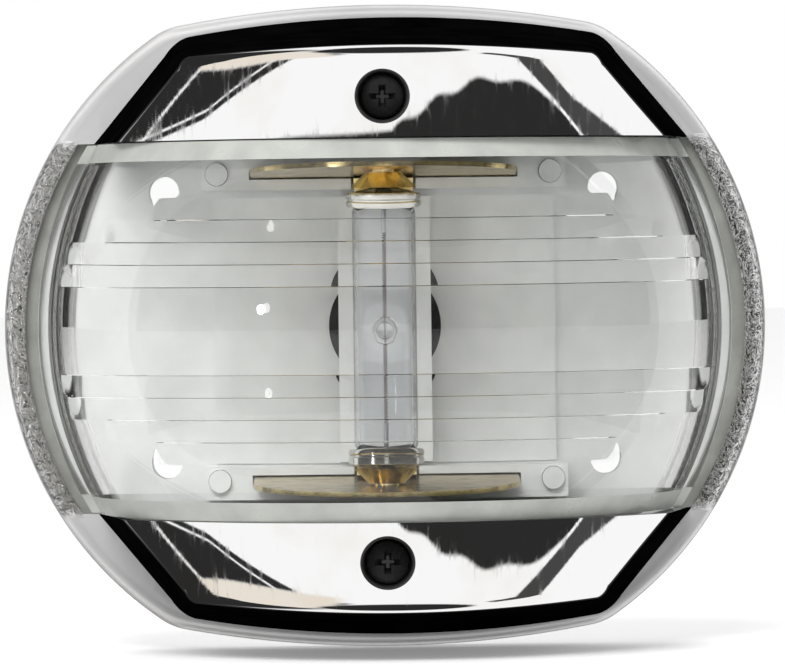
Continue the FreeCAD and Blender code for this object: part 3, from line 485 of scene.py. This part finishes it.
def build_gasket():
    outer, inner = 2.05 * MM, 3.9 * MM
    round_off = 0.15 * MM
    section = [(outer, GASKET_BACK), (outer, PLATE_BACK - round_off), (outer + round_off, PLATE_BACK)]
    section += [(inner - round_off, PLATE_BACK), (inner, PLATE_BACK - round_off), (inner, GASKET_BACK)]
    return keep(ring("lens_seal", section), "base", RUBBER, "rubber", "lens_gasket")


# --- Hoods -----------------------------------------------------------------------------------


def hood_contour(inset):
    """Points and outward normals round the upper hood's foot, from right to left, starting and
    ending well below the window edge."""
    foot_x = HOOD_FOOT_X
    side_run = Vector((HOOD_CORNER[0] - foot_x, HOOD_CORNER[1] - WINDOW_HALF))
    along = side_run.normalized()
    side_normal = Vector((along.y, -along.x))
    half = HOOD_CORNER[0]
    crown_radius = (half ** 2 + HOOD_CROWN ** 2) / (2 * HOOD_CROWN)
    crown_centre = Vector((0, HOOD_CORNER[1] + HOOD_CROWN - crown_radius))
    # The corner's rounding touches the straight side and the crown's arc.
    reach = crown_radius - HOOD_ROUND
    foot = Vector((foot_x, WINDOW_HALF)) - side_normal * HOOD_ROUND - crown_centre
    middle = foot.dot(along)
    run = -middle + math.sqrt(middle ** 2 - foot.length_squared + reach ** 2)
    corner = Vector((foot_x, WINDOW_HALF)) - side_normal * HOOD_ROUND + along * run
    start_turn = math.atan2(side_normal.y, side_normal.x)
    to_corner = corner - crown_centre
    end_turn = math.atan2(to_corner.y, to_corner.x)
    side_length = run + BELOW_WINDOW
    below = corner + side_normal * HOOD_ROUND - along * side_length
    points, normals = [], []
    side_count, round_count, crown_count = 40, 20, 70
    for step in range(side_count):
        points.append(below + along * side_length * step / side_count)
        normals.append(side_normal)
    for step in range(round_count):
        turn = start_turn + (end_turn - start_turn) * step / round_count
        out = Vector((math.cos(turn), math.sin(turn)))
        points.append(corner + out * HOOD_ROUND)
        normals.append(out)
    for step in range(crown_count + 1):
        turn = end_turn + (math.pi / 2 - end_turn) * step / crown_count
        out = Vector((math.cos(turn), math.sin(turn)))
        points.append(crown_centre + out * crown_radius)
        normals.append(out)
    pairs = list(zip(points, normals))
    pairs += [(Vector((-p.x, p.y)), Vector((-n.x, n.y))) for p, n in reversed(pairs[:-1])]
    return [(p - n * inset, n) for p, n in pairs]


def face_depth(x, z, inset=0.0):
    """Depth of a hood's sloping face: round about the lens's axis, running out flat at the
    sides, and a little crowned, so that it leans back more towards its top."""
    height = z - WINDOW_HALF
    low_slope, high_slope = math.tan(FACE_SLOPE), math.tan(FACE_SLOPE_TOP)
    lean = low_slope * height + (high_slope - low_slope) * height * abs(height) / (2 * FACE_RISE)
    radius = FACE_RADIUS - lean - inset / math.cos(FACE_SLOPE)
    across = abs(x - HOOD_SHIFT)
    flat = across - radius * math.sin(FACE_TURN)
    if flat < 0:
        return AXIS_DEPTH + math.sqrt(radius ** 2 - across ** 2)
    straight = (radius - across * math.sin(FACE_TURN)) / math.cos(FACE_TURN)
    return AXIS_DEPTH + straight - flat ** 2 / FACET_RADIUS


def hood_wall(point, normal, depth):
    """The place on the drafted wall above a contour point, at a depth."""
    draft = HOOD_DRAFT + (HOOD_TOP_DRAFT - HOOD_DRAFT) * normal.y ** 4
    place = point - normal * (depth - FLANGE_DEPTH) * draft
    return Vector((place.x + HOOD_SHIFT, -depth, place.y))


def wall_top(point, normal, inset):
    """Where the drafted wall meets the sloping face."""
    depth = FLANGE_DEPTH
    for _ in range(14):
        place = hood_wall(point, normal, depth)
        depth = face_depth(place.x, place.z, inset)
    return hood_wall(point, normal, depth)


def on_face(x, z, inset=0.0):
    return Vector((x, -face_depth(x, z, inset), z))


def rim_edge():
    """Where the hoods' flanges start, inside the rim's flat: turns from the centre, x and z."""
    turned = sorted((math.atan2(z, x), x, z) for x, z in outline(RIM_FLAT))
    return [np.array(column) for column in zip(*turned)]


EDGE_TURNS, EDGE_XS, EDGE_ZS = rim_edge()


def edge_towards(point):
    """The point of that edge in the same direction from the centre."""
    turn = math.atan2(point.y, point.x)
    return Vector((np.interp(turn, EDGE_TURNS, EDGE_XS), np.interp(turn, EDGE_TURNS, EDGE_ZS)))


def hood_section(point, normal, inner_point):
    """One closed section across the hood's shell, in four runs: flange, wall, face and inside."""
    shifted = Vector((point.x + HOOD_SHIFT, point.y))
    rim = edge_towards(shifted)
    out = Vector((normal.x, 0, normal.y))
    foot = hood_wall(point, normal, FLANGE_DEPTH)
    foot_share = FOOT_SIDE_SHARE + (1 - FOOT_SIDE_SHARE) * normal.y ** 4
    fillet = foot + out * FOOT_ROUND * foot_share
    low_wall = hood_wall(point, normal, FLANGE_DEPTH + FOOT_ROUND)
    top = wall_top(point, normal, 0)
    shoulder = top - (top - foot).normalized() * EDGE_ROUND
    flange = [Vector((rim.x, -FLANGE_DEPTH, rim.y))]
    wall = bezier(fillet, foot, low_wall, ROUND_POINTS)
    wall += [low_wall.lerp(shoulder, step / WALL_POINTS) for step in range(WALL_POINTS)]
    bottom = on_face(HOOD_SHIFT + (top.x - HOOD_SHIFT) * FACE_NARROWING, WINDOW_HALF - FACE_BELOW_WINDOW)
    run = bottom - top
    first = min(EDGE_ROUND / max(math.hypot(run.x, run.z), EDGE_ROUND), 0.9)
    shares = np.linspace(first, 1, FACE_POINTS)
    face = [on_face(top.x + run.x * share, top.z + run.z * share) for share in shares]
    face = bezier(shoulder, top, face[0], ROUND_POINTS) + face
    inner_top = wall_top(inner_point, normal, SKIN)
    shares = np.linspace(1, 0, INSIDE_POINTS)
    inside = [on_face(inner_top.x + (bottom.x - inner_top.x) * share,
                      inner_top.z + (bottom.z - inner_top.z) * share, SKIN) for share in shares]
    inside.append(hood_wall(inner_point, normal, PLATE_BACK))
    inside.append(Vector((rim.x, -PLATE_BACK, rim.y)))
    return flange, wall, face, inside


def paint_hood(made, runs):
    """Gives the steep polished wall a painted dark reflection, near-black in place of the dark
    surroundings that it mirrors, and the hollow inside a finish of its own.
    """
    flange, wall, face, _ = (len(run) for run in runs)
    columns = len(made[0])
    for row, following in zip(made, made[1:]):
        for column in range(flange, columns - 1):
            shared = set(row[column].link_faces) & set(following[column + 1].link_faces)
            for part in shared:
                if column < flange + wall:
                    part.material_index = 1
                elif column >= flange + wall + face:
                    part.material_index = 2


def cut_flat(bm, plane_z):
    """Removes everything below a level plane and closes the cut."""
    geometry = bm.verts[:] + bm.edges[:] + bm.faces[:]
    result = bmesh.ops.bisect_plane(bm, geom=geometry, plane_co=(0, 0, plane_z), dist=1e-7,
                                    plane_no=(0, 0, 1), clear_inner=True)
    cut = [part for part in result["geom_cut"] if isinstance(part, bmesh.types.BMEdge)]
    bmesh.ops.triangle_fill(bm, edges=cut, use_beauty=True)


def screw_cylinder():
    """A tool that opens the upper hood's face over its screw."""
    behind, before = 20 * MM, 40 * MM
    profile = [(0, behind), (HOLE_RADIUS, behind), (HOLE_RADIUS, before), (0, before)]
    return lathe("hole_tool", profile, (0, 0, SCREW_Z), "Y", 96)


def build_hood(side):
    """One hood with the strip of rim beside it, hollow, open at the window and over its screw."""
    bm = bmesh.new()
    outer, inner = hood_contour(0), hood_contour(SKIN)
    sections = [hood_section(point, normal, inner_point)
                for (point, normal), (inner_point, _) in zip(outer, inner)]
    rows = [[place for run in section for place in run] for section in sections]
    paint_hood(add_grid(bm, rows, close_columns=True), sections[0])
    cut_flat(bm, WINDOW_HALF)
    hood = finish_mesh(f"{side}_hood", bm)
    # The second material is the steep walls' painted dark reflection.
    for paint in (POLISHED, WALL_PAINTED_REFLECTION, INSIDE):
        hood.data.materials.append(paint)
    cut_out(hood, screw_cylinder())
    if side == "lower":
        mirror_down(hood)
    return keep(hood, "cover", POLISHED, "polished_steel", "steel_cover")


def mirror_down(made):
    """Turns an upper piece into the lower one."""
    for vertex in made.data.vertices:
        vertex.co.z = -vertex.co.z
    made.data.flip_normals()


def build_post(side):
    """The counterbore over a cover screw and the boss that holds the screw, in one turning."""
    lip, under_face = 0.3 * MM, 0.8 * MM
    turns = 96
    rows = []
    for step in range(turns):
        angle = 2 * math.pi * step / turns
        c, s = math.cos(angle), math.sin(angle)
        row = []
        for radius, sink in ((HOLE_RADIUS, 0.0), (HOLE_RADIUS - lip * 0.4, lip * 0.12),
                             (HOLE_RADIUS - lip * 0.8, lip * 0.5), (HOLE_RADIUS - lip, lip * 1.1)):
            x, z = radius * c, SCREW_Z + radius * s
            row.append((x, -face_depth(x, z) + sink, z))
        fixed = [(BORE_RADIUS, SCREW_SEAT + 0.9 * MM), (BORE_RADIUS, SCREW_SEAT), (SHANK_HOLE, SCREW_SEAT)]
        fixed += [(SHANK_HOLE, POST_END), (POST_RADIUS, POST_END), (POST_RADIUS, SCREW_SEAT - 2 * MM)]
        row += [(r * c, -depth, SCREW_Z + r * s) for r, depth in fixed]
        for radius in (POST_RADIUS, HOLE_RADIUS):
            x, z = radius * c, SCREW_Z + radius * s
            row.append((x, -face_depth(x, z) + under_face, z))
        rows.append(row)
    bm = bmesh.new()
    add_grid(bm, rows, close_rows=True, close_columns=True)
    post = finish_mesh(f"{side}_screw_well_painted_shade", bm)
    if side == "lower":
        mirror_down(post)
    # The well's polished steel takes the painted shade.
    return keep(post, "cover", WELL_PAINTED_SHADE, "polished_steel", "steel_cover")


# --- Lens ------------------------------------------------------------------------------------


def swell(z, end_radius):
    """Radius of the lens's barrel at a height: an arc that is widest in the middle."""
    rise = LENS_RADIUS - LENS_END_RADIUS
    bow = (LENS_END ** 2 + rise ** 2) / (2 * rise)
    return end_radius + rise - bow + math.sqrt(bow ** 2 - min(abs(z), LENS_END) ** 2)


def step_at(z, across):
    """How far a light-bending step stands in from the inner wall."""
    for start, end, reach in LENS_STEPS:
        if start * MM < abs(z) <= end * MM:
            fade = min(max((reach * MM - abs(across)) / STEP_FADE, 0), 1)
            return STEP_DEPTH * fade * (end * MM - abs(z)) / ((end - start) * MM)
    return 0.0


def lens_heights():
    """Heights of the inner wall's points, doubled where a step begins."""
    hair = 0.03 * MM
    upper = list(np.linspace(0, LENS_STEPS[0][0] * MM - hair, 10))
    for start, end, _ in LENS_STEPS:
        upper += list(np.linspace(start * MM + hair, end * MM - hair, 7))
    upper += list(np.linspace(LENS_STEPS[-1][1] * MM + hair, LENS_END_INSIDE, 12))
    return [-z for z in reversed(upper[1:])] + upper


def lens_section(angle, flange=0.0):
    """Closed (radius, height) section of the lens at an angle round its axis."""
    inner_end = LENS_END_RADIUS - LENS_WALL
    section = [(0.0, -LENS_END_INSIDE)]
    for z in lens_heights():
        radius = swell(z, inner_end)
        section.append((radius - step_at(z, radius * math.sin(angle)), z))
    section += [(0.0, LENS_END_INSIDE), (0.0, TONGUE_END), (TONGUE_RADIUS, TONGUE_END)]
    section += [(TONGUE_RADIUS, LENS_END)]
    section += [(swell(z, LENS_END_RADIUS) + flange, z) for z in np.linspace(LENS_END, -LENS_END, 81)]
    section += [(TONGUE_RADIUS, -LENS_END), (TONGUE_RADIUS, -TONGUE_END), (0.0, -TONGUE_END)]
    return section


def flange_rows(sign):
    """The flange on one side of the lens, from its back to the foot of the barrel."""
    width = LENS_FLANGE_X - LENS_RADIUS
    edge = 0.05 * MM
    places = ((PLATE_BACK, width), (LENS_FLANGE_DEPTH - edge, width),
              (LENS_FLANGE_DEPTH, width - edge), (LENS_FLANGE_DEPTH, 0.0))
    return [[(sign * r, -depth, z) for r, z in lens_section(math.pi / 2, grow)]
            for depth, grow in places]


def build_lens():
    half_turn = math.pi / 2
    rows = flange_rows(-1)
    turns = 180
    for step in range(turns + 1):
        angle = -half_turn + math.pi * step / turns
        s, c = math.sin(angle), math.cos(angle)
        rows.append([(r * s, -AXIS_DEPTH - r * c, z) for r, z in lens_section(angle)])
    rows += reversed(flange_rows(1))
    bm = bmesh.new()
    made = add_grid(bm, rows, close_columns=True)
    bm.faces.new(made[0])
    bm.faces.new(list(reversed(made[-1])))
    for part in bm.faces:
        if abs(part.calc_center_median().z) > FROST_START:
            part.material_index = 1
    lens = finish_mesh("lens_barrel", bm, LENS_SHARP)
    for paint in (CLEAR, FROSTED):
        lens.data.materials.append(paint)
    lens.visible_shadow = False
    return keep(lens, "cover", CLEAR, "clear_lens", "lens")


def build_gate():
    """The round moulding mark in the middle of the lens."""
    front = -low("lens")[1]
    ring_out, ring_in = 1.35 * MM, 0.62 * MM
    sunk = 0.06 * MM
    profile = [(ring_out + 0.1 * MM, front - 0.12 * MM), (ring_out, front - 0.005 * MM)]
    profile += [(ring_out - 0.12 * MM, front - sunk), (ring_in + 0.12 * MM, front - sunk)]
    profile += [(ring_in, front - 0.005 * MM), (0, front - 0.005 * MM)]
    gate = lathe("lens_gate", profile, (0, 0, 0), "Y", 64)
    return keep(gate, "cover", CLEAR, "clear_lens", "lens")


# --- Bulb ------------------------------------------------------------------------------------


def build_bulb_glass():
    """A thin glass tube that necks in where it enters the caps."""
    radius, half = 3.36 * MM, high("bulb_glass")[2]
    wall = 0.45 * MM
    outside = [(radius * math.cos(t), half - 2.2 * MM + 2.0 * MM * math.sin(t))
               for t in np.linspace(0, math.radians(55), 8)]
    outer = [(r, -z) for r, z in reversed(outside)] + outside
    inner = [(r - wall, z * 0.98) for r, z in reversed(outer)]
    profile = outer + inner + [outer[0]]
    glass = lathe("bulb_tube", profile, BULB_AXIS, "Z", 72)
    glass.visible_shadow = False
    return keep(glass, "bulb", GLASS, "bulb_glass", "bulb_glass")


def build_bulb_cap(side):
    """A spun metal cap: rolled mouth, straight skirt, cone and a round contact tip."""
    sign = 1 if side == "upper" else -1
    start, tip = low("bulb_upper_cap")[2] - 0.5 * MM, high("bulb_upper_cap")[2]
    radius, mouth, hollow = 4.0 * MM, 0.45 * MM, 1.6 * MM
    # The outside's steps, in millimetres: how far in from the radius and up from the mouth.
    steps = [(0.45, 0.0), (0.132, 0.0), (0.0, 0.22), (0.0, 0.55), (0.12, 0.7), (0.12, 0.85), (0.0, 1.0),
             (0.0, 2.3), (0.2, 2.55), (1.2, 2.9), (2.4, 3.1), (2.65, 3.3)]
    profile = [(0, start + hollow), (radius - mouth, start + hollow)]
    profile += [(radius - inwards * MM, start + up * MM) for inwards, up in steps]
    profile += [(1.1 * MM, tip - 0.15 * MM), (0.6 * MM, tip), (0, tip)]
    profile = [(r, sign * z) for r, z in profile]
    centre = (BULB_AXIS[0], BULB_AXIS[1], 0)
    cap = lathe(f"{side}_bulb_cap", profile, centre, "Z", 72)
    return keep(cap, "bulb", NICKEL, "nickel_plate", f"bulb_{side}_cap")


def tube(name, points, radius):
    """A round wire through points."""
    curve = bpy.data.curves.new(name, "CURVE")
    curve.dimensions = "3D"
    curve.bevel_depth = radius
    curve.bevel_resolution = 1
    spline = curve.splines.new("POLY")
    spline.points.add(len(points) - 1)
    for target, point in zip(spline.points, points):
        target.co = (*point, 1)
    curve.use_fill_caps = True
    temporary = new_object(name, curve)
    graph = bpy.context.evaluated_depsgraph_get()
    mesh = bpy.data.meshes.new_from_object(temporary.evaluated_get(graph))
    bpy.data.objects.remove(temporary)
    mesh.shade_smooth()
    return new_object(name, mesh)


def build_filament():
    """A closely wound filament that sags a little, hung between the leads."""
    half = high("bulb_filament")[2]
    wire, coil, sag = 0.045 * MM, 0.2 * MM, 0.12 * MM
    turns, per_turn = 76, 10
    points = []
    for step in range(turns * per_turn + 1):
        t = step / (turns * per_turn)
        angle = 2 * math.pi * step / per_turn
        bow = sag * math.sin(math.pi * t)
        x = BULB_AXIS[0] + coil * math.cos(angle)
        y = BULB_AXIS[1] + bow + coil * math.sin(angle)
        points.append((x, y, -half + 2 * half * t))
    return keep(tube("filament_coil", points, wire), "bulb", TUNGSTEN, "filament", "bulb_filament")


def cross_tool(centre_z, top):
    """A tapering cross that cuts a screw's recess."""
    bm = bmesh.new()
    reach, arm, depth = 1.45 * MM, 0.36 * MM, 1.3 * MM
    for wide, tall in ((reach, arm), (arm, reach)):
        corners = []
        for share, y in ((1.25, top - 0.3 * MM), (0.45, top + depth)):
            for sx, sz in ((-1, -1), (1, -1), (1, 1), (-1, 1)):
                z = centre_z + sz * tall * min(share, 1)
                corners.append(bm.verts.new((sx * wide * share, y, z)))
        front, back = corners[:4], corners[4:]
        bm.faces.new(front)
        bm.faces.new(back)
        for i in range(4):
            j = (i + 1) % 4
            bm.faces.new([front[i], front[j], back[j], back[i]])
    return finish_mesh("cross_tool", bm)


def build_screw(side):
    """A black pan-head screw: domed head, cross recess and plain shank."""
    node = f"{side}_cover_screw"
    top, end = low(node)[1], high(node)[1]
    centre_z = (low(node)[2] + high(node)[2]) / 2
    head, rise, height = 2.25 * MM, 0.55 * MM, 2.0 * MM
    bow = (head ** 2 + rise ** 2) / (2 * rise)
    dome = [(r, -top - bow + math.sqrt(bow ** 2 - r ** 2)) for r in np.linspace(0, head - 0.12 * MM, 14)]
    # The head is clear of its seal and the shank of its well, so that neither touches on the way out.
    under = -top - height + 0.02 * MM
    shank = 1.15 * MM
    profile = dome + [(head, -top - rise - 0.1 * MM), (head, under), (shank, under), (shank, -end)]
    profile += [(0, -end)]
    screw = lathe(f"{side}_screw", profile, (0, 0, centre_z), "Y", 72)
    cut_out(screw, cross_tool(centre_z, top), crossing=True)
    return keep(screw, f"{side}_screw", BLACK, "black_screw", node)


# --- The rest of the CAD nodes ---------------------------------------------------------------


BLACK_RUBBER = {"cable_grommet", "upper_screw_seal", "lower_screw_seal"}


def dress_nodes():
    """Every CAD node that still shows takes its slot's material."""
    slots = {part["node"]: part["material_slot"] for part in frame["record"]["subparts"]}
    for name, made in nodes.items():
        slot = slots[name]
        made.data.materials.clear()
        special = GROMMET if name in BLACK_RUBBER else MATERIALS[slot]
        made.data.materials.append(special)


# --- Stage -----------------------------------------------------------------------------------


class Sky:
    """The studio as polished metal sees it, built up in the world's nodes."""

    def __init__(self, tree):
        self.tree = tree
        split = tree.nodes.new("ShaderNodeSeparateXYZ")
        where = tree.nodes.new("ShaderNodeTexCoord")
        tree.links.new(where.outputs["Generated"], split.inputs[0])
        self.x, self.y, self.z = split.outputs

    def math(self, kind, first, second=0.0):
        made = self.tree.nodes.new("ShaderNodeMath")
        made.operation = kind
        for socket, part in zip(made.inputs, (first, second)):
            if isinstance(part, (int, float)):
                socket.default_value = part
            else:
                self.tree.links.new(part, socket)
        return made.outputs[0]

    def ramp(self, value, start, end):
        """0 up to start and 1 from end on, smoothly between; start may be above end."""
        made = self.tree.nodes.new("ShaderNodeMapRange")
        made.interpolation_type = "SMOOTHSTEP"
        rising = start < end
        made.inputs["From Min"].default_value = min(start, end)
        made.inputs["From Max"].default_value = max(start, end)
        made.inputs["To Min"].default_value = 0 if rising else 1
        made.inputs["To Max"].default_value = 1 if rising else 0
        self.tree.links.new(value, made.inputs["Value"])
        return made.outputs["Result"]

    def band(self, value, start, end, soft):
        rise = self.ramp(value, start - soft, start + soft)
        return self.math("MULTIPLY", rise, self.ramp(value, end + soft, end - soft))

    def slanted(self, share):
        """How far back a direction points, plus a share of how far up or down."""
        return self.math("ADD", self.y, self.math("MULTIPLY", self.math("ABSOLUTE", self.z), share))

    def tinted(self, factor, first, second):
        made = self.tree.nodes.new("ShaderNodeMix")
        made.data_type = "RGBA"
        self.tree.links.new(factor, made.inputs["Factor"])
        made.inputs["A"].default_value = first
        made.inputs["B"].default_value = second
        return made.outputs["Result"]

    def background(self, colour, strength):
        made = self.tree.nodes.new("ShaderNodeBackground")
        for name, part in (("Color", colour), ("Strength", strength)):
            if isinstance(part, (int, float, tuple)):
                made.inputs[name].default_value = part
            else:
                self.tree.links.new(part, made.inputs[name])
        return made.outputs[0]

    def choose(self, factor, first, second):
        made = self.tree.nodes.new("ShaderNodeMixShader")
        self.tree.links.new(factor, made.inputs[0])
        self.tree.links.new(first, made.inputs[1])
        self.tree.links.new(second, made.inputs[2])
        return made.outputs[0]


# Where the tent's parts begin and end, and how soft a band's edges are. A direction's height is how
# far up or down it points, and its back how far away from the viewer; a slant is back plus a share
# of height.
OPENING_MIDDLE = (7, 9)
OPENING_SOFT, OPENING_JOIN = 0.6, 0.01
# How many degrees off the axis it reaches: at the middle, and per unit of x and of x squared.
RIGHT_REACH = (50.8, 28, 32)
LEFT_REACH = (51.0, 4, 51)
WANDER_RATE, WANDER_SIZE = 31, 0.7
OPENING_SLANT, OPENING_TOP = 0.6, (0.385, 0.378)
ROOF_HEIGHT = (0.935, 0.955)
BACK_WALL = (0.7, 0.75)
CREAM_SHARE, CREAM_EDGE = 0.43, (0.743, 0.75)
CREAM_LEFT, CREAM_BACK = (-0.25, -0.35), (0.25, 0.24)
LEFT_SLANT, LEFT_FLAG, LEFT_SIDE = 1.33, (0.895, 0.905), (-0.2, -0.3)
FIRST_STREAK = (0.236, 0.244, 0.003)
SECOND_SLANT, SECOND_STREAK = 1.27, (0.89, 0.899, 0.004)
RIGHT_SLANT, RIGHT_FLAG, RIGHT_SIDE = 0.6, (0.40, 0.505, 0.006), (0.42, 0.46)
RIGHT_DARKNESS = 0.96
SIDES_HEIGHT = (0.35, 0.45)
DARKNESS = 0.975


def reach_across(sky, middle, slope, bend):
    square = sky.math("MULTIPLY", sky.x, sky.x)
    rise = sky.math("ADD", sky.math("MULTIPLY", sky.x, slope), sky.math("MULTIPLY", square, bend))
    return sky.math("ADD", rise, middle)


def opening_reach(sky):
    """How far the dark opening reaches: further round on the right, where its edge wanders a
    little, and only a strip on the left."""
    wander = sky.math("MULTIPLY", sky.math("SINE", sky.math("MULTIPLY", sky.x, WANDER_RATE)), WANDER_SIZE)
    right = sky.math("ADD", reach_across(sky, *RIGHT_REACH), wander)
    left = reach_across(sky, *LEFT_REACH)
    return sky.math("MAXIMUM", sky.math("MULTIPLY", right, sky.ramp(sky.x, -OPENING_JOIN, 0.0)),
                    sky.math("MULTIPLY", left, sky.ramp(sky.x, OPENING_JOIN, 0.0)))


def cream_card(sky, height):
    """Where a cream card hangs, high on the left."""
    slant = sky.math("ADD", height, sky.math("MULTIPLY", sky.y, CREAM_SHARE))
    card = sky.math("MULTIPLY", sky.ramp(slant, *CREAM_EDGE), sky.ramp(sky.x, *CREAM_LEFT))
    return sky.math("MULTIPLY", card, sky.ramp(sky.y, *CREAM_BACK))


def side_flags(sky, height, cream):
    """The dark flags: the left one with two light streaks and the card, the right one a band."""
    left = sky.math("MULTIPLY", sky.ramp(sky.slanted(LEFT_SLANT), *LEFT_FLAG), sky.ramp(sky.x, *LEFT_SIDE))
    streaks = sky.math("MAXIMUM", sky.band(sky.y, *FIRST_STREAK),
                       sky.band(sky.slanted(SECOND_SLANT), *SECOND_STREAK))
    for light in (streaks, cream):
        left = sky.math("MULTIPLY", left, sky.math("SUBTRACT", 1, light))
    right = sky.math("MULTIPLY", sky.band(sky.slanted(RIGHT_SLANT), *RIGHT_FLAG),
                     sky.ramp(sky.x, *RIGHT_SIDE))
    flags = sky.math("MAXIMUM", left, sky.math("MULTIPLY", right, RIGHT_DARKNESS))
    return sky.math("MULTIPLY", flags, sky.ramp(height, *SIDES_HEIGHT))


def tent_light(sky):
    """Brightness, and where it is cream, of a white light tent with a dark opening at the front,
    a dark back and roof, and dark flags at both sides."""
    forward = sky.math("MULTIPLY", sky.y, -1)
    off_axis = sky.math("MULTIPLY", sky.math("ARCCOSINE", forward), 180 / math.pi)
    height = sky.math("ABSOLUTE", sky.z)
    inside = sky.math("SUBTRACT", opening_reach(sky), off_axis)
    opening = sky.ramp(inside, -OPENING_SOFT, OPENING_SOFT)
    opening = sky.math("MULTIPLY", opening, sky.ramp(off_axis, *OPENING_MIDDLE))
    opening = sky.math("MULTIPLY", opening, sky.ramp(sky.slanted(OPENING_SLANT), *OPENING_TOP))
    cream = cream_card(sky, height)
    dark = sky.math("MAXIMUM", opening, sky.ramp(sky.y, *BACK_WALL))
    dark = sky.math("MAXIMUM", dark, side_flags(sky, height, cream))
    dark = sky.math("MAXIMUM", dark, sky.ramp(height, *ROOF_HEIGHT))
    level = sky.math("ADD", sky.math("MULTIPLY", dark, -DARKNESS), 1)
    return level, cream


def build_world():
    """White for the camera, soft for matt surfaces, and a light tent for what it mirrors."""
    world = bpy.data.worlds.new("studio")
    bpy.context.scene.world = world
    world.use_nodes = True
    tree = world.node_tree
    tree.nodes.clear()
    path = tree.nodes.new("ShaderNodeLightPath")
    sky = Sky(tree)
    white = (1, 1, 1, 1)
    level, cream = tent_light(sky)
    tent = sky.background(sky.tinted(cream, white, (0.86, 0.79, 0.70, 1)), level)
    through = sky.math("MAXIMUM", path.outputs["Is Camera Ray"], path.outputs["Is Transmission Ray"])
    seen = sky.choose(through, sky.background(white, 0.8), sky.background(white, 1.0))
    mirrored = sky.math("GREATER_THAN", path.outputs["Glossy Depth"], 0.5)
    seen = sky.choose(mirrored, seen, tent)
    output = tree.nodes.new("ShaderNodeOutputWorld")
    tree.links.new(seen, output.inputs["Surface"])


def build_floor():
    """A plain pale floor under the light."""
    bm = bmesh.new()
    size, level = 3.0, -HALF_HEIGHT - 0.0001
    places = ((-size, -size), (size, -size), (size, size), (-size, size))
    bm.faces.new([bm.verts.new((x, y, level)) for x, y in places])
    mesh = bpy.data.meshes.new("floor")
    bm.to_mesh(mesh)
    bm.free()
    floor = new_object("floor", mesh)
    paint = moulded("floor_paint", (0.90, 0.90, 0.90), (0.92, 0.92, 0.92), (0.8, 0.9), 40, 0.0001)
    shader = paint.node_tree.nodes["Principled BSDF"]
    shader.inputs["Emission Color"].default_value = (1, 1, 1, 1)
    shader.inputs["Emission Strength"].default_value = 0.22
    mesh.materials.append(paint)
    floor.visible_glossy = False


def build_lights():
    """A soft key from above and a small lamp that puts the highlight on the clear barrel."""
    lamps = (("key", (-0.2, -0.7, 0.75), 0.6, 8, False), ("lamp", (-0.66, -0.75, 0.10), 0.05, 0.35, True))
    for name, place, size, power, mirrored in lamps:
        data = bpy.data.lights.new(name, "AREA")
        data.shape = "DISK"
        data.size = size
        data.energy = power
        lamp = new_object(name, data)
        lamp.location = place
        lamp.rotation_euler = (-lamp.location).to_track_quat("-Z", "Y").to_euler()
        lamp.visible_camera = False
        lamp.visible_glossy = mirrored
        lamp.visible_transmission = mirrored


def build_camera():
    """Straight on, long lens, a little above and rolled a touch."""
    data = bpy.data.cameras.new("camera")
    camera = new_object("camera", data)
    distance, rise = 0.755, math.radians(0.8)
    camera.location = (0, -distance * math.cos(rise), distance * math.sin(rise))
    aim = (-camera.location).to_track_quat("-Z", "Y")
    camera.rotation_euler = aim.to_euler()
    camera.rotation_euler.rotate_axis("Z", math.radians(-0.7))
    data.sensor_width = 36
    data.lens = 315.7
    data.shift_x = 0.0096
    data.shift_y = -0.0089
    data.clip_start = 0.01
    bpy.context.scene.camera = camera
    bpy.context.scene.view_settings.view_transform = "Standard"


dress_nodes()
build_rim()
build_gasket()
for which in ("upper", "lower"):
    build_hood(which)
    build_post(which)
    build_bulb_cap(which)
    build_screw(which)
build_lens()
build_gate()
build_bulb_glass()
build_filament()
build_world()
build_floor()
build_lights()
build_camera()
